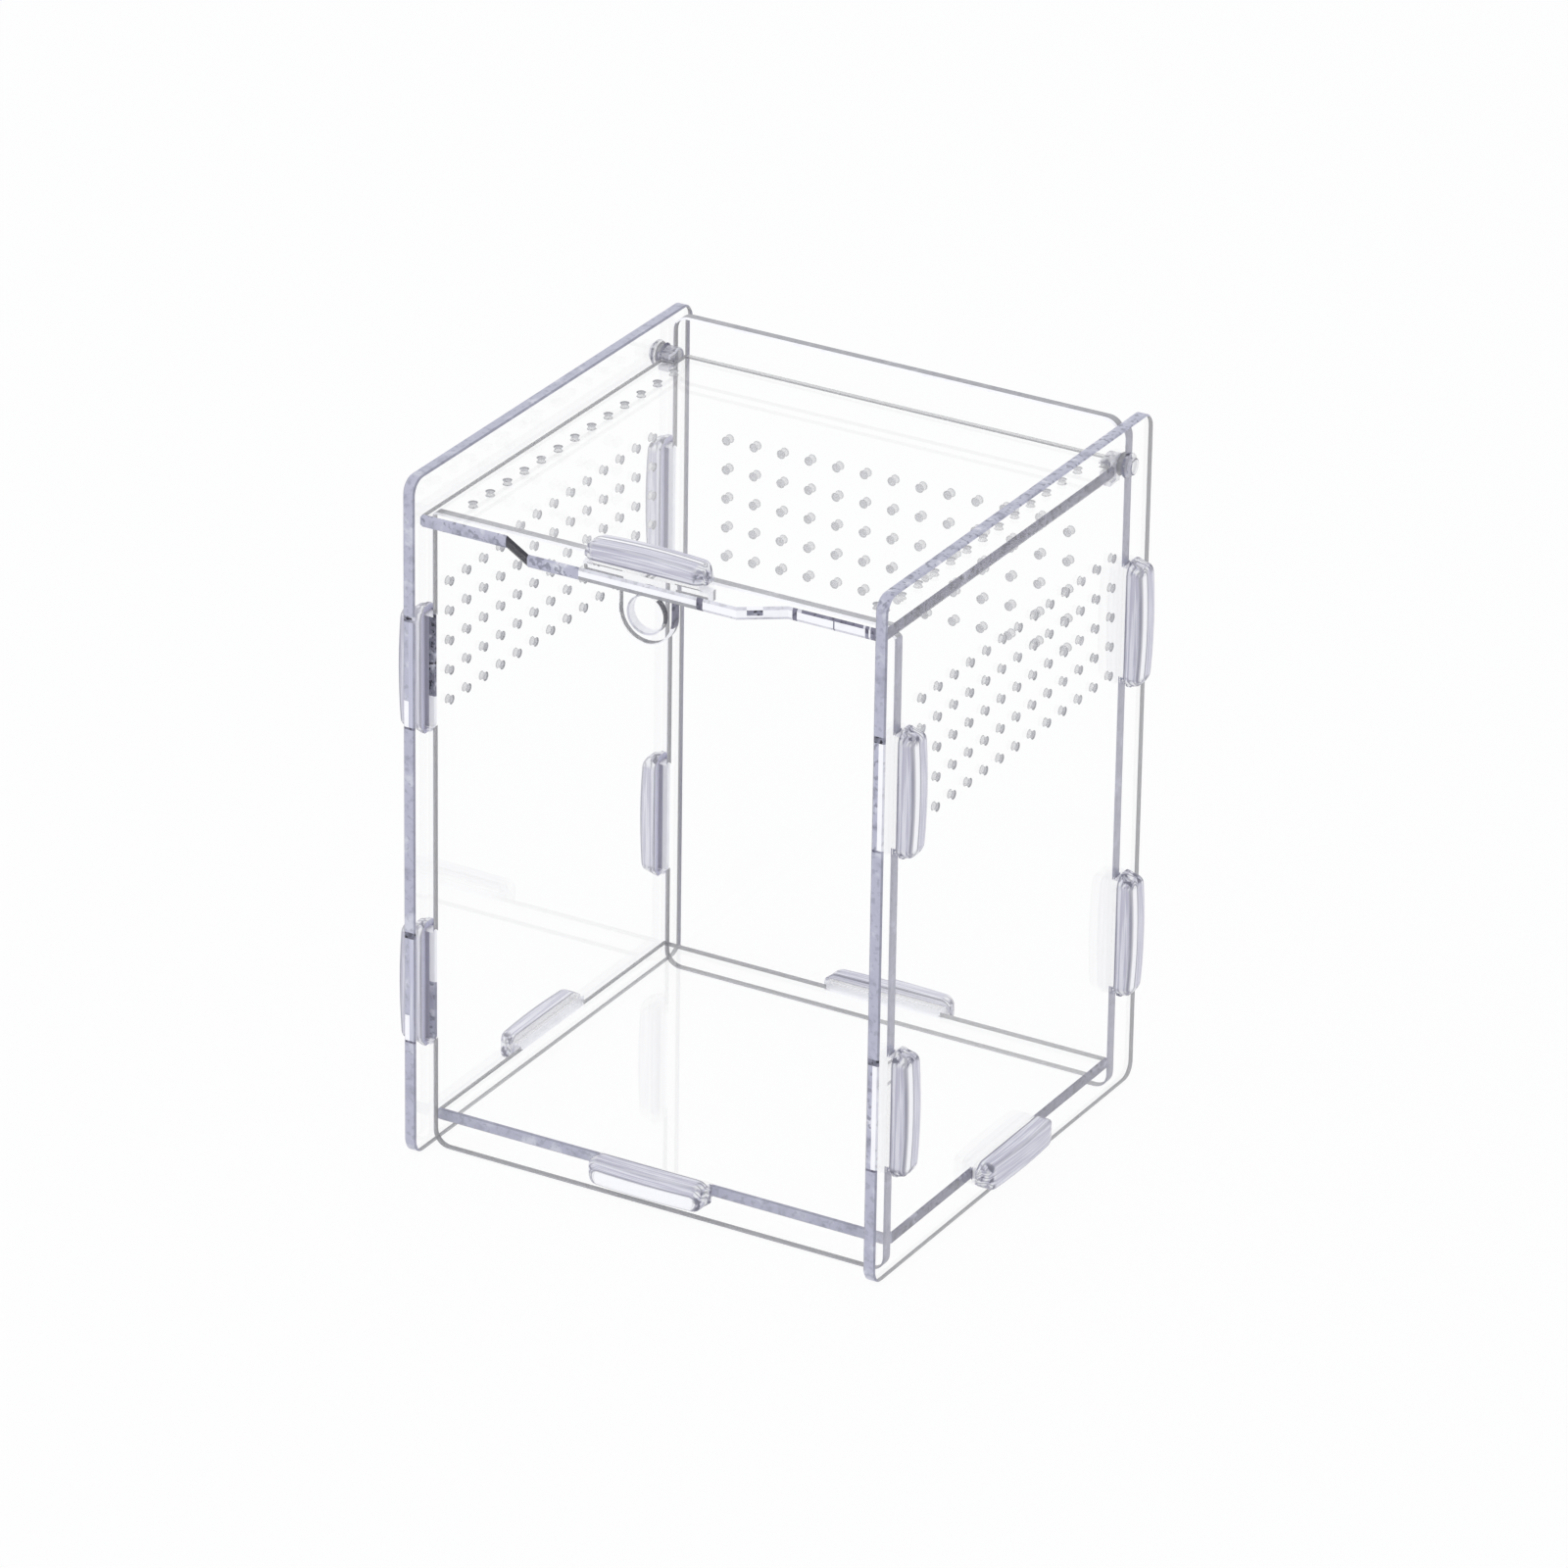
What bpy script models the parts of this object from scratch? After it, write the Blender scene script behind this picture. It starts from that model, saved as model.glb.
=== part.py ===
"""A clear acrylic terrarium: a tall box of laser-cut sheet on its own four walls.

The walls, the raised floor and the lid's pull tab are joined by tenons that pass
through the neighbouring sheet, and each tenon is locked outside by a push-on clip.
The lid turns on two pins through the side panels, at the top of the back panel.

Lengths are metres. X runs along the front, Y towards the back and Z up, with the
origin at the bottom centre of the object's box.
"""

import math

import bmesh
import bpy
from mathutils import Matrix, Vector

for old_object in list(bpy.data.objects):
    bpy.data.objects.remove(old_object, do_unlink=True)

# Driving dimensions of the box
SHEET = 0.0027
INNER_WIDTH = 0.1045
DEPTH = 0.1086
HEIGHT = 0.150
CORNER_RADIUS = 0.0035
FRONT_TOP_RADIUS = 0.0010
WALL_INSET = 0.0062
FLOOR_LIFT = 0.0052

# Clearance between pieces that touch
GAP = 0.0003

# Tenons, and the height of the corner joints above the ground and below the lid's top
TENON_LENGTH = 0.0249
TENON_PROUD = 0.0027
JOINT_INSET = 0.0362

# Lid, its tongue at the front and its place under the side panels' tops
LID_DROP = 0.0076
LID_SIDE_CLEARANCE = 0.00045
LID_FRONT_INSET = 0.0016
LID_BACK_CLEARANCE = 0.0004
TONGUE_BASE_WIDTH = 0.064
TONGUE_FRONT_WIDTH = 0.0474
TONGUE_REACH = 0.0056

# Pull tab that hangs from the tongue
TAB_SETBACK = 0.00555
TAB_SHOULDER_OVERLAP = 0.00205
TAB_SHOULDER_HEIGHT = 0.0022
TAB_END_RADIUS = 0.0063
TAB_HOLE_RADIUS = 0.0039
TAB_DROP = 0.0067

# Vent holes
VENT_RADIUS = 0.0008
VENT_PITCH = 0.0065
VENT_ROWS = 5
VENT_DROP = 0.040
WALL_VENT_MARGIN = 0.0125
LID_VENT_MARGIN = 0.0090
LID_VENT_INSET = 0.0058

# Push-on clips
CLIP_WALL = 0.00125
CLIP_END_WALL = 0.00075
CLIP_ROOF = 0.0012
CLIP_END_RADIUS = 0.0024
CLIP_CROWN = 0.0006
CLIP_SQUARENESS = 5.0
EAR_LENGTH = 0.0004
EAR_WIDTH = 0.0036
EAR_HEIGHT = 0.0014

# Hinge: knuckles on the lid's back corners, and pins through the side panels
BARREL_RADIUS = 0.0021
PIN_TIP_RADIUS = 0.0012
PIN_SHANK_RADIUS = 0.0018
PIN_HEAD_RADIUS = 0.0027
PIN_HEAD_THICKNESS = 0.0017
PIN_HEAD_ROUNDING = 0.0007
HINGE_AXIS_DEPTH = 0.0003
KNUCKLE_WIDTH = 0.0030
JAW_THICKNESS = 0.0011
JAW_REACH = 0.0038

# Sides of round holes and steps of rounded corners
VENT_SIDES = 8
BORE_SIDES = 16
CORNER_STEPS = 4
END_STEPS = 12

# Heights that follow from the driving dimensions
LID_TOP = HEIGHT - LID_DROP
LID_MIDDLE = LID_TOP - SHEET / 2
LID_UNDERSIDE = LID_TOP - SHEET
FRONT_PANEL_TOP = LID_UNDERSIDE - GAP
FLOOR_MIDDLE = FLOOR_LIFT + SHEET / 2
JOINT_HEIGHTS = {"lower": JOINT_INSET, "upper": LID_TOP - JOINT_INSET}

# Depths, from the front of the tongue or of the side panels to their back edges
TONGUE_OVERHANG = TONGUE_REACH - LID_FRONT_INSET
FRONT_EDGE = (max(TONGUE_OVERHANG, 0.0) - DEPTH) / 2
BACK_EDGE = FRONT_EDGE + DEPTH
SIDE_MIDDLE = FRONT_EDGE + DEPTH / 2
FRONT_PANEL_Y = FRONT_EDGE + WALL_INSET + SHEET / 2
BACK_PANEL_Y = BACK_EDGE - WALL_INSET - SHEET / 2
CABIN_FRONT = FRONT_PANEL_Y + SHEET / 2
CABIN_BACK = BACK_PANEL_Y - SHEET / 2
LID_FRONT = FRONT_EDGE + LID_FRONT_INSET
LID_BACK = CABIN_BACK - LID_BACK_CLEARANCE
TONGUE_FRONT = LID_FRONT - TONGUE_REACH
TAB_Y = TONGUE_FRONT + TAB_SETBACK + SHEET / 2

# Widths
CABIN_HALF_WIDTH = INNER_WIDTH / 2
SIDE_PANEL_X = CABIN_HALF_WIDTH + SHEET / 2
OUTER_FACE_X = CABIN_HALF_WIDTH + SHEET
LID_HALF_WIDTH = CABIN_HALF_WIDTH - LID_SIDE_CLEARANCE

# Hinge axis, which runs along X just in front of the back panel
HINGE_Y = CABIN_BACK - GAP - BARREL_RADIUS
HINGE_Z = LID_TOP - HINGE_AXIS_DEPTH
HINGE_AXIS = Vector((0.0, HINGE_Y, HINGE_Z))

# How a flat piece drawn in local X and Y is turned into place
LEVEL = (0.0, 0.0, 0.0)
FACING_FRONT = (math.pi / 2, 0.0, 0.0)
FACING_SIDE = (math.pi / 2, 0.0, math.pi / 2)

# Edges sharper than this stay crisp on a smooth-shaded piece
CRISP_ANGLE = math.radians(50)

CLEAR_ACRYLIC = (0.86, 0.87, 0.92, 1.0)
CLIP_PLASTIC = (0.78, 0.77, 0.84, 1.0)
HINGE_PLASTIC = (0.62, 0.62, 0.68, 1.0)


def make_material(name, colour, roughness, alpha):
    """Return a Principled material for one sub-part."""
    material = bpy.data.materials.new(name)
    material.use_nodes = True
    shader = material.node_tree.nodes["Principled BSDF"]
    shader.inputs["Base Color"].default_value = colour
    shader.inputs["Roughness"].default_value = roughness
    shader.inputs["Metallic"].default_value = 0.0
    shader.inputs["Alpha"].default_value = alpha
    return material


def add_piece(name, body, colour, roughness, alpha, location, turn=LEVEL, hinge=None):
    """Turn a bmesh into a named object, placed in the world or under the lid's hinge."""
    bmesh.ops.recalc_face_normals(body, faces=body.faces)
    mesh = bpy.data.meshes.new(name)
    body.to_mesh(mesh)
    body.free()
    mesh.shade_smooth()
    mesh.set_sharp_from_angle(angle=CRISP_ANGLE)
    piece = bpy.data.objects.new(name, mesh)
    bpy.context.scene.collection.objects.link(piece)
    piece.data.materials.append(make_material(name, colour, roughness, alpha))
    piece.location = Vector(location)
    piece.rotation_euler = turn
    if hinge is not None:
        piece.parent = hinge
        piece.location = piece.location - hinge.location
    return piece


def arc(centre, radius, start, end, steps):
    """Return points on an arc from one angle to the other, in degrees."""
    points = []
    for step in range(steps + 1):
        angle = math.radians(start + (end - start) * step / steps)
        points.append((centre[0] + radius * math.cos(angle), centre[1] + radius * math.sin(angle)))
    return points


def round_hole(centre, radius, sides):
    """Return a round hole's loop, turned so that flats lie square to the axes."""
    half_side = 180 / sides
    return arc(centre, radius, half_side, 360 + half_side, sides)[:-1]


def rectangle(centre, width, height):
    """Return a rectangle's loop."""
    u, v = centre
    return [
        (u - width / 2, v - height / 2),
        (u + width / 2, v - height / 2),
        (u + width / 2, v + height / 2),
        (u - width / 2, v + height / 2),
    ]


def mortise(centre, along):
    """Return the loop of a slot that a tenon passes through, long in u or in v."""
    length = TENON_LENGTH + 2 * GAP
    width = SHEET + 2 * GAP
    if along == "u":
        return rectangle(centre, length, width)
    return rectangle(centre, width, length)


def vent_grid(middle, span, rows, margin):
    """Return rows of vent holes, as many to a row as fit the span inside its margins."""
    columns = int((span - 2 * margin) / VENT_PITCH) + 1
    holes = []
    for row in range(rows):
        for column in range(columns):
            u = middle[0] + (column - (columns - 1) / 2) * VENT_PITCH
            v = middle[1] + (row - (rows - 1) / 2) * VENT_PITCH
            holes.append(round_hole((u, v), VENT_RADIUS, VENT_SIDES))
    return holes


def corner(centre_of_box, half_size, radius, quadrant):
    """Return one rounded corner of a rectangle, or its single point where the radius is 0."""
    u_sign, v_sign = ((-1, -1), (1, -1), (1, 1), (-1, 1))[quadrant]
    u = centre_of_box[0] + u_sign * half_size[0]
    v = centre_of_box[1] + v_sign * half_size[1]
    if radius == 0:
        return [(u, v)]
    start = 180 + 90 * quadrant
    return arc((u - u_sign * radius, v - v_sign * radius), radius, start, start + 90, CORNER_STEPS)


def tenoned_outline(low, high, radii, side_tenons, end_tenons, reach):
    """Return a sheet's outline, counter-clockwise from its low corner.

    low and high are opposite corners of the body, radii the bottom and top corner radii,
    side_tenons the middles in v of the tenons on both sides, end_tenons the middles in u
    of those on the bottom and top edges, and reach how far each tenon stands out.
    """
    middle = ((low[0] + high[0]) / 2, (low[1] + high[1]) / 2)
    half_size = ((high[0] - low[0]) / 2, (high[1] - low[1]) / 2)
    half = TENON_LENGTH / 2
    bottom_radius, top_radius = radii
    points = corner(middle, half_size, bottom_radius, 0)
    for u in end_tenons:
        points += [(u - half, low[1]), (u - half, low[1] - reach)]
        points += [(u + half, low[1] - reach), (u + half, low[1])]
    points += corner(middle, half_size, bottom_radius, 1)
    for v in side_tenons:
        points += [(high[0], v - half), (high[0] + reach, v - half)]
        points += [(high[0] + reach, v + half), (high[0], v + half)]
    points += corner(middle, half_size, top_radius, 2)
    for u in reversed(end_tenons):
        points += [(u + half, high[1]), (u + half, high[1] + reach)]
        points += [(u - half, high[1] + reach), (u - half, high[1])]
    points += corner(middle, half_size, top_radius, 3)
    for v in reversed(side_tenons):
        points += [(low[0], v + half), (low[0] - reach, v + half)]
        points += [(low[0] - reach, v - half), (low[0], v - half)]
    return points


def flat_piece(outline, holes, thickness):
    """Fill an outline round its holes and extrude it, with its middle plane at local Z 0."""
    body = bmesh.new()
    edges = []
    for loop in [outline] + holes:
        corners = [body.verts.new((u, v, -thickness / 2)) for u, v in loop]
        for first, second in zip(corners, corners[1:] + corners[:1]):
            edges.append(body.edges.new((first, second)))
    bmesh.ops.triangle_fill(body, edges=edges, use_beauty=True)
    grown = bmesh.ops.extrude_face_region(body, geom=list(body.faces))
    raised = [item for item in grown["geom"] if isinstance(item, bmesh.types.BMVert)]
    bmesh.ops.translate(body, verts=raised, vec=(0.0, 0.0, thickness))
    return body


def turned_piece(profile, sides):
    """Turn a profile of (radius, height) points about local Z; its ends lie on the axis."""
    body = bmesh.new()
    rings = []
    for radius, height in profile[1:-1]:
        rings.append([body.verts.new((u, v, height)) for u, v in round_hole((0, 0), radius, sides)])
    for lower, upper in zip(rings, rings[1:]):
        for side in range(sides):
            after = (side + 1) % sides
            body.faces.new((lower[side], lower[after], upper[after], upper[side]))
    for ring, height in ((rings[0], profile[0][1]), (rings[-1], profile[-1][1])):
        tip = body.verts.new((0.0, 0.0, height))
        for side in range(sides):
            body.faces.new((ring[side], ring[(side + 1) % sides], tip))
    return body


def side_panel(name, side):
    """Left or right wall: vents, corner mortises, floor mortise and hinge hole."""
    holes = vent_grid((SIDE_MIDDLE, HEIGHT - VENT_DROP), DEPTH, VENT_ROWS, WALL_VENT_MARGIN)
    for panel_y in (FRONT_PANEL_Y, BACK_PANEL_Y):
        for joint_height in JOINT_HEIGHTS.values():
            holes.append(mortise((panel_y, joint_height), "v"))
    holes.append(mortise((SIDE_MIDDLE, FLOOR_MIDDLE), "u"))
    holes.append(round_hole((HINGE_Y, HINGE_Z), PIN_SHANK_RADIUS + GAP, BORE_SIDES))
    low = (FRONT_EDGE, 0.0)
    high = (BACK_EDGE, HEIGHT)
    outline = tenoned_outline(low, high, (CORNER_RADIUS, CORNER_RADIUS), (), (), 0.0)
    body = flat_piece(outline, holes, SHEET)
    add_piece(name, body, CLEAR_ACRYLIC, 0.05, 0.3, (side * SIDE_PANEL_X, 0.0, 0.0), FACING_SIDE)


def cross_panel(name, panel_y, top, top_radius, vents):
    """Front or back wall, which stands between the side panels on tenons through them."""
    holes = list(vents)
    holes.append(mortise((0.0, FLOOR_MIDDLE), "u"))
    half_width = CABIN_HALF_WIDTH - GAP
    reach = GAP + SHEET + TENON_PROUD
    low = (-half_width, 0.0)
    high = (half_width, top)
    tenons = tuple(JOINT_HEIGHTS.values())
    outline = tenoned_outline(low, high, (CORNER_RADIUS, top_radius), tenons, (), reach)
    body = flat_piece(outline, holes, SHEET)
    add_piece(name, body, CLEAR_ACRYLIC, 0.05, 0.3, (0.0, panel_y, 0.0), FACING_FRONT)


def front_panel():
    """Plain front wall, as high as the lid's underside."""
    cross_panel("front_panel", FRONT_PANEL_Y, FRONT_PANEL_TOP, FRONT_TOP_RADIUS, [])


def back_panel():
    """Back wall, as high as the side panels, with vents."""
    vents = vent_grid((0.0, HEIGHT - VENT_DROP), INNER_WIDTH, VENT_ROWS, WALL_VENT_MARGIN)
    cross_panel("back_panel", BACK_PANEL_Y, HEIGHT, CORNER_RADIUS, vents)


def floor_panel():
    """Raised floor, held by one tenon through each wall."""
    low = (-(CABIN_HALF_WIDTH - GAP), CABIN_FRONT + GAP)
    high = (CABIN_HALF_WIDTH - GAP, CABIN_BACK - GAP)
    reach = GAP + SHEET + TENON_PROUD
    outline = tenoned_outline(low, high, (0.0, 0.0), (SIDE_MIDDLE,), (0.0,), reach)
    body = flat_piece(outline, [], SHEET)
    add_piece("floor_panel", body, CLEAR_ACRYLIC, 0.05, 0.3, (0.0, 0.0, FLOOR_MIDDLE))


def lid_panel(hinge):
    """Lid: a tongue at the front, a row of vents along each side, notched back corners."""
    notch_x = CABIN_HALF_WIDTH - GAP - KNUCKLE_WIDTH - GAP
    notch_y = HINGE_Y - BARREL_RADIUS - GAP
    right_half = [
        (TONGUE_FRONT_WIDTH / 2, TONGUE_FRONT),
        (TONGUE_BASE_WIDTH / 2, LID_FRONT),
        (LID_HALF_WIDTH, LID_FRONT),
        (LID_HALF_WIDTH, notch_y),
        (notch_x, notch_y),
        (notch_x, LID_BACK),
    ]
    outline = right_half + [(-u, v) for u, v in reversed(right_half)]
    outline = [(u, v - HINGE_Y) for u, v in outline]
    row_middle = (TAB_Y + LID_BACK) / 2 - HINGE_Y
    row_span = LID_BACK - TAB_Y
    holes = [mortise((0.0, TAB_Y - HINGE_Y), "u")]
    for side in (-1, 1):
        row = vent_grid((row_middle, 0.0), row_span, 1, LID_VENT_MARGIN)
        vent_x = side * (LID_HALF_WIDTH - LID_VENT_INSET)
        holes += [[(vent_x - v, u) for u, v in hole] for hole in row]
    body = flat_piece(outline, holes, SHEET)
    place = (0.0, HINGE_Y, LID_MIDDLE)
    add_piece("lid_panel", body, CLEAR_ACRYLIC, 0.05, 0.3, place, LEVEL, hinge)


def pull_tab(hinge):
    """T-shaped tab: its tenon passes up through the tongue and a finger hole hangs below."""
    tenon_top = LID_TOP + TENON_PROUD
    shoulder_top = LID_UNDERSIDE - GAP
    shoulder_bottom = shoulder_top - TAB_SHOULDER_HEIGHT
    ring_centre = (0.0, LID_UNDERSIDE - TAB_DROP)
    shoulder = TENON_LENGTH / 2 + TAB_SHOULDER_OVERLAP
    outline = arc(ring_centre, TAB_END_RADIUS, 180, 360, END_STEPS)
    outline += [
        (TAB_END_RADIUS, shoulder_bottom),
        (shoulder, shoulder_bottom),
        (shoulder, shoulder_top),
        (TENON_LENGTH / 2, shoulder_top),
        (TENON_LENGTH / 2, tenon_top),
        (-TENON_LENGTH / 2, tenon_top),
        (-TENON_LENGTH / 2, shoulder_top),
        (-shoulder, shoulder_top),
        (-shoulder, shoulder_bottom),
        (-TAB_END_RADIUS, shoulder_bottom),
    ]
    hole = round_hole(ring_centre, TAB_HOLE_RADIUS, BORE_SIDES)
    body = flat_piece(outline, [hole], SHEET)
    place = (0.0, TAB_Y, 0.0)
    add_piece("pull_tab", body, CLEAR_ACRYLIC, 0.05, 0.3, place, FACING_FRONT, hinge)


def clip_stations():
    """Return (x, half width, height) of the clip's cross-sections, from its middle to one end."""
    half_length = TENON_LENGTH / 2 + GAP + CLIP_END_WALL
    half_width = SHEET / 2 + GAP + CLIP_WALL
    height = TENON_PROUD + CLIP_ROOF
    end_radius = min(CLIP_END_RADIUS, half_width)
    straight = half_length - end_radius
    stations = []
    for x in (0.0, straight * 0.6, straight):
        stations.append((x, half_width, height - CLIP_CROWN * (x / half_length) ** 2))
    for angle in (math.radians(30), math.radians(52)):
        x = straight + end_radius * math.sin(angle)
        width = half_width - end_radius * (1 - math.cos(angle))
        rounding = CLIP_CROWN * (1 - math.cos(angle))
        stations.append((x, width, height - CLIP_CROWN * (x / half_length) ** 2 - rounding))
    ear_end = half_length + EAR_LENGTH
    stations.append((half_length, EAR_WIDTH / 2, EAR_HEIGHT))
    stations.append((ear_end - EAR_LENGTH / 4, EAR_WIDTH / 2, EAR_HEIGHT))
    stations.append((ear_end, EAR_WIDTH * 0.38, EAR_HEIGHT * 0.7))
    return stations


def clip_body():
    """Domed cap: D-shaped cross-sections along local X, a low ear at each end and a cavity."""
    half = clip_stations()
    stations = [(-x, width, height) for x, width, height in reversed(half[1:])] + half
    body = bmesh.new()
    sections = []
    for x, width, height in stations:
        section = []
        for angle in (0, 35, 65, 90, 115, 145, 180):
            turn = math.radians(angle)
            y = math.copysign(abs(math.cos(turn)) ** (2 / CLIP_SQUARENESS), math.cos(turn))
            z = abs(math.sin(turn)) ** (2 / CLIP_SQUARENESS)
            if angle == 90:
                y = 0.0
            if angle in (0, 180):
                z = 0.0
            section.append(body.verts.new((x, width * y, height * z)))
        sections.append(section)
    for first, second in zip(sections, sections[1:]):
        for index in range(len(first) - 1):
            body.faces.new((first[index], second[index], second[index + 1], first[index + 1]))
    body.faces.new(sections[0])
    body.faces.new(sections[-1])

    cavity_length = TENON_LENGTH + 2 * GAP
    cavity_width = SHEET + 2 * GAP
    mouth = [body.verts.new((u, v, 0.0)) for u, v in rectangle((0, 0), cavity_length, cavity_width)]
    roof = [body.verts.new((vert.co.x, vert.co.y, TENON_PROUD)) for vert in mouth]
    body.faces.new(roof)
    for index in range(4):
        after = (index + 1) % 4
        body.faces.new((mouth[index], mouth[after], roof[after], roof[index]))
    rim = [section[0] for section in sections] + [section[-1] for section in reversed(sections)]
    edges = []
    for loop in (mouth, rim):
        for first, second in zip(loop, loop[1:] + loop[:1]):
            edge = body.edges.get((first, second))
            edges.append(edge)
    bmesh.ops.triangle_fill(body, edges=edges, use_beauty=True)
    return body


def clip(name, location, length_axis, outward, hinge=None):
    """Place one clip, its length and its crown along the given axes, a gap off the face."""
    z_axis = Vector(outward)
    x_axis = Vector(length_axis)
    turn = Matrix((x_axis, z_axis.cross(x_axis), z_axis)).transposed().to_euler()
    seat = Vector(location) + GAP * z_axis
    add_piece(name, clip_body(), CLIP_PLASTIC, 0.15, 0.6, seat, turn, hinge)


def corner_clips():
    """Clips on the wall tenons, outside the side panels."""
    for side_name, side in (("left", -1), ("right", 1)):
        for wall_name, wall_y in (("front", FRONT_PANEL_Y), ("back", BACK_PANEL_Y)):
            for level_name, joint_height in JOINT_HEIGHTS.items():
                name = f"{side_name}_{wall_name}_{level_name}_clip"
                location = (side * OUTER_FACE_X, wall_y, joint_height)
                clip(name, location, (0, 0, 1), (side, 0, 0))


def floor_clips():
    """Clips on the floor's tenons, one outside each wall."""
    front_face = FRONT_PANEL_Y - SHEET / 2
    back_face = BACK_PANEL_Y + SHEET / 2
    clip("front_floor_clip", (0, front_face, FLOOR_MIDDLE), (1, 0, 0), (0, -1, 0))
    clip("back_floor_clip", (0, back_face, FLOOR_MIDDLE), (1, 0, 0), (0, 1, 0))
    clip("left_floor_clip", (-OUTER_FACE_X, SIDE_MIDDLE, FLOOR_MIDDLE), (0, 1, 0), (-1, 0, 0))
    clip("right_floor_clip", (OUTER_FACE_X, SIDE_MIDDLE, FLOOR_MIDDLE), (0, 1, 0), (1, 0, 0))


def lid_clip(hinge):
    """Clip on the pull tab's tenon, on top of the tongue."""
    clip("lid_clip", (0, TAB_Y, LID_TOP), (1, 0, 0), (0, 0, 1), hinge)


def hinge_pin(name, side, hinge):
    """Stepped pin: a round head outside, a shank in the side panel and a tip in the knuckle."""
    tip_end = -(SHEET + KNUCKLE_WIDTH)
    head_top = GAP + PIN_HEAD_THICKNESS
    profile = [
        (0.0, tip_end),
        (PIN_TIP_RADIUS, tip_end),
        (PIN_TIP_RADIUS, -SHEET),
        (PIN_SHANK_RADIUS, -SHEET),
        (PIN_SHANK_RADIUS, GAP),
        (PIN_HEAD_RADIUS, GAP),
        (PIN_HEAD_RADIUS, head_top - PIN_HEAD_ROUNDING),
        (PIN_HEAD_RADIUS - PIN_HEAD_ROUNDING, head_top),
        (0.0, head_top),
    ]
    body = turned_piece(profile, BORE_SIDES)
    turn = (0.0, side * math.pi / 2, 0.0)
    place = (side * OUTER_FACE_X, HINGE_Y, HINGE_Z)
    add_piece(name, body, HINGE_PLASTIC, 0.2, 0.8, place, turn, hinge)


def hinge_knuckle(name, side, hinge):
    """Moulded clamp over the lid's back corner, with a barrel on the hinge axis."""
    upper_low = HINGE_AXIS_DEPTH + GAP
    upper_high = upper_low + JAW_THICKNESS
    lower_high = HINGE_AXIS_DEPTH - SHEET - GAP
    lower_low = lower_high - JAW_THICKNESS
    meeting = math.degrees(math.asin(min(upper_high / BARREL_RADIUS, 1.0)))
    outline = [(-JAW_REACH, upper_high), (-JAW_REACH, upper_low), (-BARREL_RADIUS, upper_low)]
    outline += [(-BARREL_RADIUS, lower_high), (-JAW_REACH, lower_high), (-JAW_REACH, lower_low)]
    outline.append((0.0, lower_low))
    outline += arc((0, 0), BARREL_RADIUS, -90, 180 - meeting, END_STEPS)
    bore = round_hole((0, 0), PIN_TIP_RADIUS + GAP, BORE_SIDES)
    body = flat_piece(outline, [bore], KNUCKLE_WIDTH)
    middle_x = CABIN_HALF_WIDTH - GAP - KNUCKLE_WIDTH / 2
    place = (side * middle_x, HINGE_Y, HINGE_Z)
    add_piece(name, body, HINGE_PLASTIC, 0.2, 0.8, place, FACING_SIDE, hinge)


def build():
    """Build the fixed box, then everything that turns with the lid."""
    side_panel("left_panel", -1)
    side_panel("right_panel", 1)
    front_panel()
    back_panel()
    floor_panel()
    corner_clips()
    floor_clips()

    hinge = bpy.data.objects.new("lid_hinge", None)
    bpy.context.scene.collection.objects.link(hinge)
    hinge.location = HINGE_AXIS
    lid_panel(hinge)
    pull_tab(hinge)
    lid_clip(hinge)
    for side_name, side in (("left", -1), ("right", 1)):
        hinge_pin(f"{side_name}_hinge_pin", side, hinge)
        hinge_knuckle(f"{side_name}_hinge_knuckle", side, hinge)


build()
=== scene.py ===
"""Looks of a clear acrylic terrarium: sheets, push-on clips, pull tab and hinge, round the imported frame."""

import math

import bmesh
import bpy
from mathutils import Matrix, Vector


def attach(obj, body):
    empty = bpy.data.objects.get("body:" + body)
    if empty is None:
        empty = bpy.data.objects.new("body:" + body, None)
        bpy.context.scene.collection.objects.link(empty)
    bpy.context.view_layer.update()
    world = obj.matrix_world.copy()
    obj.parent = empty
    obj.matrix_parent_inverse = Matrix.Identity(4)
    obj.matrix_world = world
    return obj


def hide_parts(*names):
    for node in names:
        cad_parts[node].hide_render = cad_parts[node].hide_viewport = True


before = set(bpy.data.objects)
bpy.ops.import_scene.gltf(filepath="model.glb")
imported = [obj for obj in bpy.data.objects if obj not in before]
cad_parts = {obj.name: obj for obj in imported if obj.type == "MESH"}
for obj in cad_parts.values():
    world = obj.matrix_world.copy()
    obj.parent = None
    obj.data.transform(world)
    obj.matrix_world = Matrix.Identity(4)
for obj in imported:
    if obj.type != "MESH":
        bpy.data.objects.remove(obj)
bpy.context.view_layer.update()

# Camera
# A long lens from the front right and above, as the photograph was taken, with a slight roll.
AZIMUTH = math.radians(29.657)
ELEVATION = math.radians(25.474)
ROLL = math.radians(0.863)
DISTANCE = 2.0245
TARGET = Vector((0.001411, 0.002534, 0.075196))
LENS = 230.126
SENSOR_WIDTH = 36.0

camera_back = Vector((
    math.sin(AZIMUTH) * math.cos(ELEVATION),
    -math.cos(AZIMUTH) * math.cos(ELEVATION),
    math.sin(ELEVATION),
))
level_right = Vector((math.cos(AZIMUTH), math.sin(AZIMUTH), 0.0))
level_up = camera_back.cross(level_right)
camera_right = level_right * math.cos(ROLL) + level_up * math.sin(ROLL)
camera_up = level_up * math.cos(ROLL) - level_right * math.sin(ROLL)
camera_data = bpy.data.cameras.new("camera")
camera_data.lens = LENS
camera_data.sensor_width = SENSOR_WIDTH
camera = bpy.data.objects.new("camera", camera_data)
bpy.context.scene.collection.objects.link(camera)
camera.matrix_world = Matrix.Translation(TARGET + DISTANCE * camera_back) @ Matrix((
    camera_right, camera_up, camera_back)).transposed().to_4x4()
bpy.context.scene.camera = camera
bpy.context.scene.view_settings.view_transform = "Standard"

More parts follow.
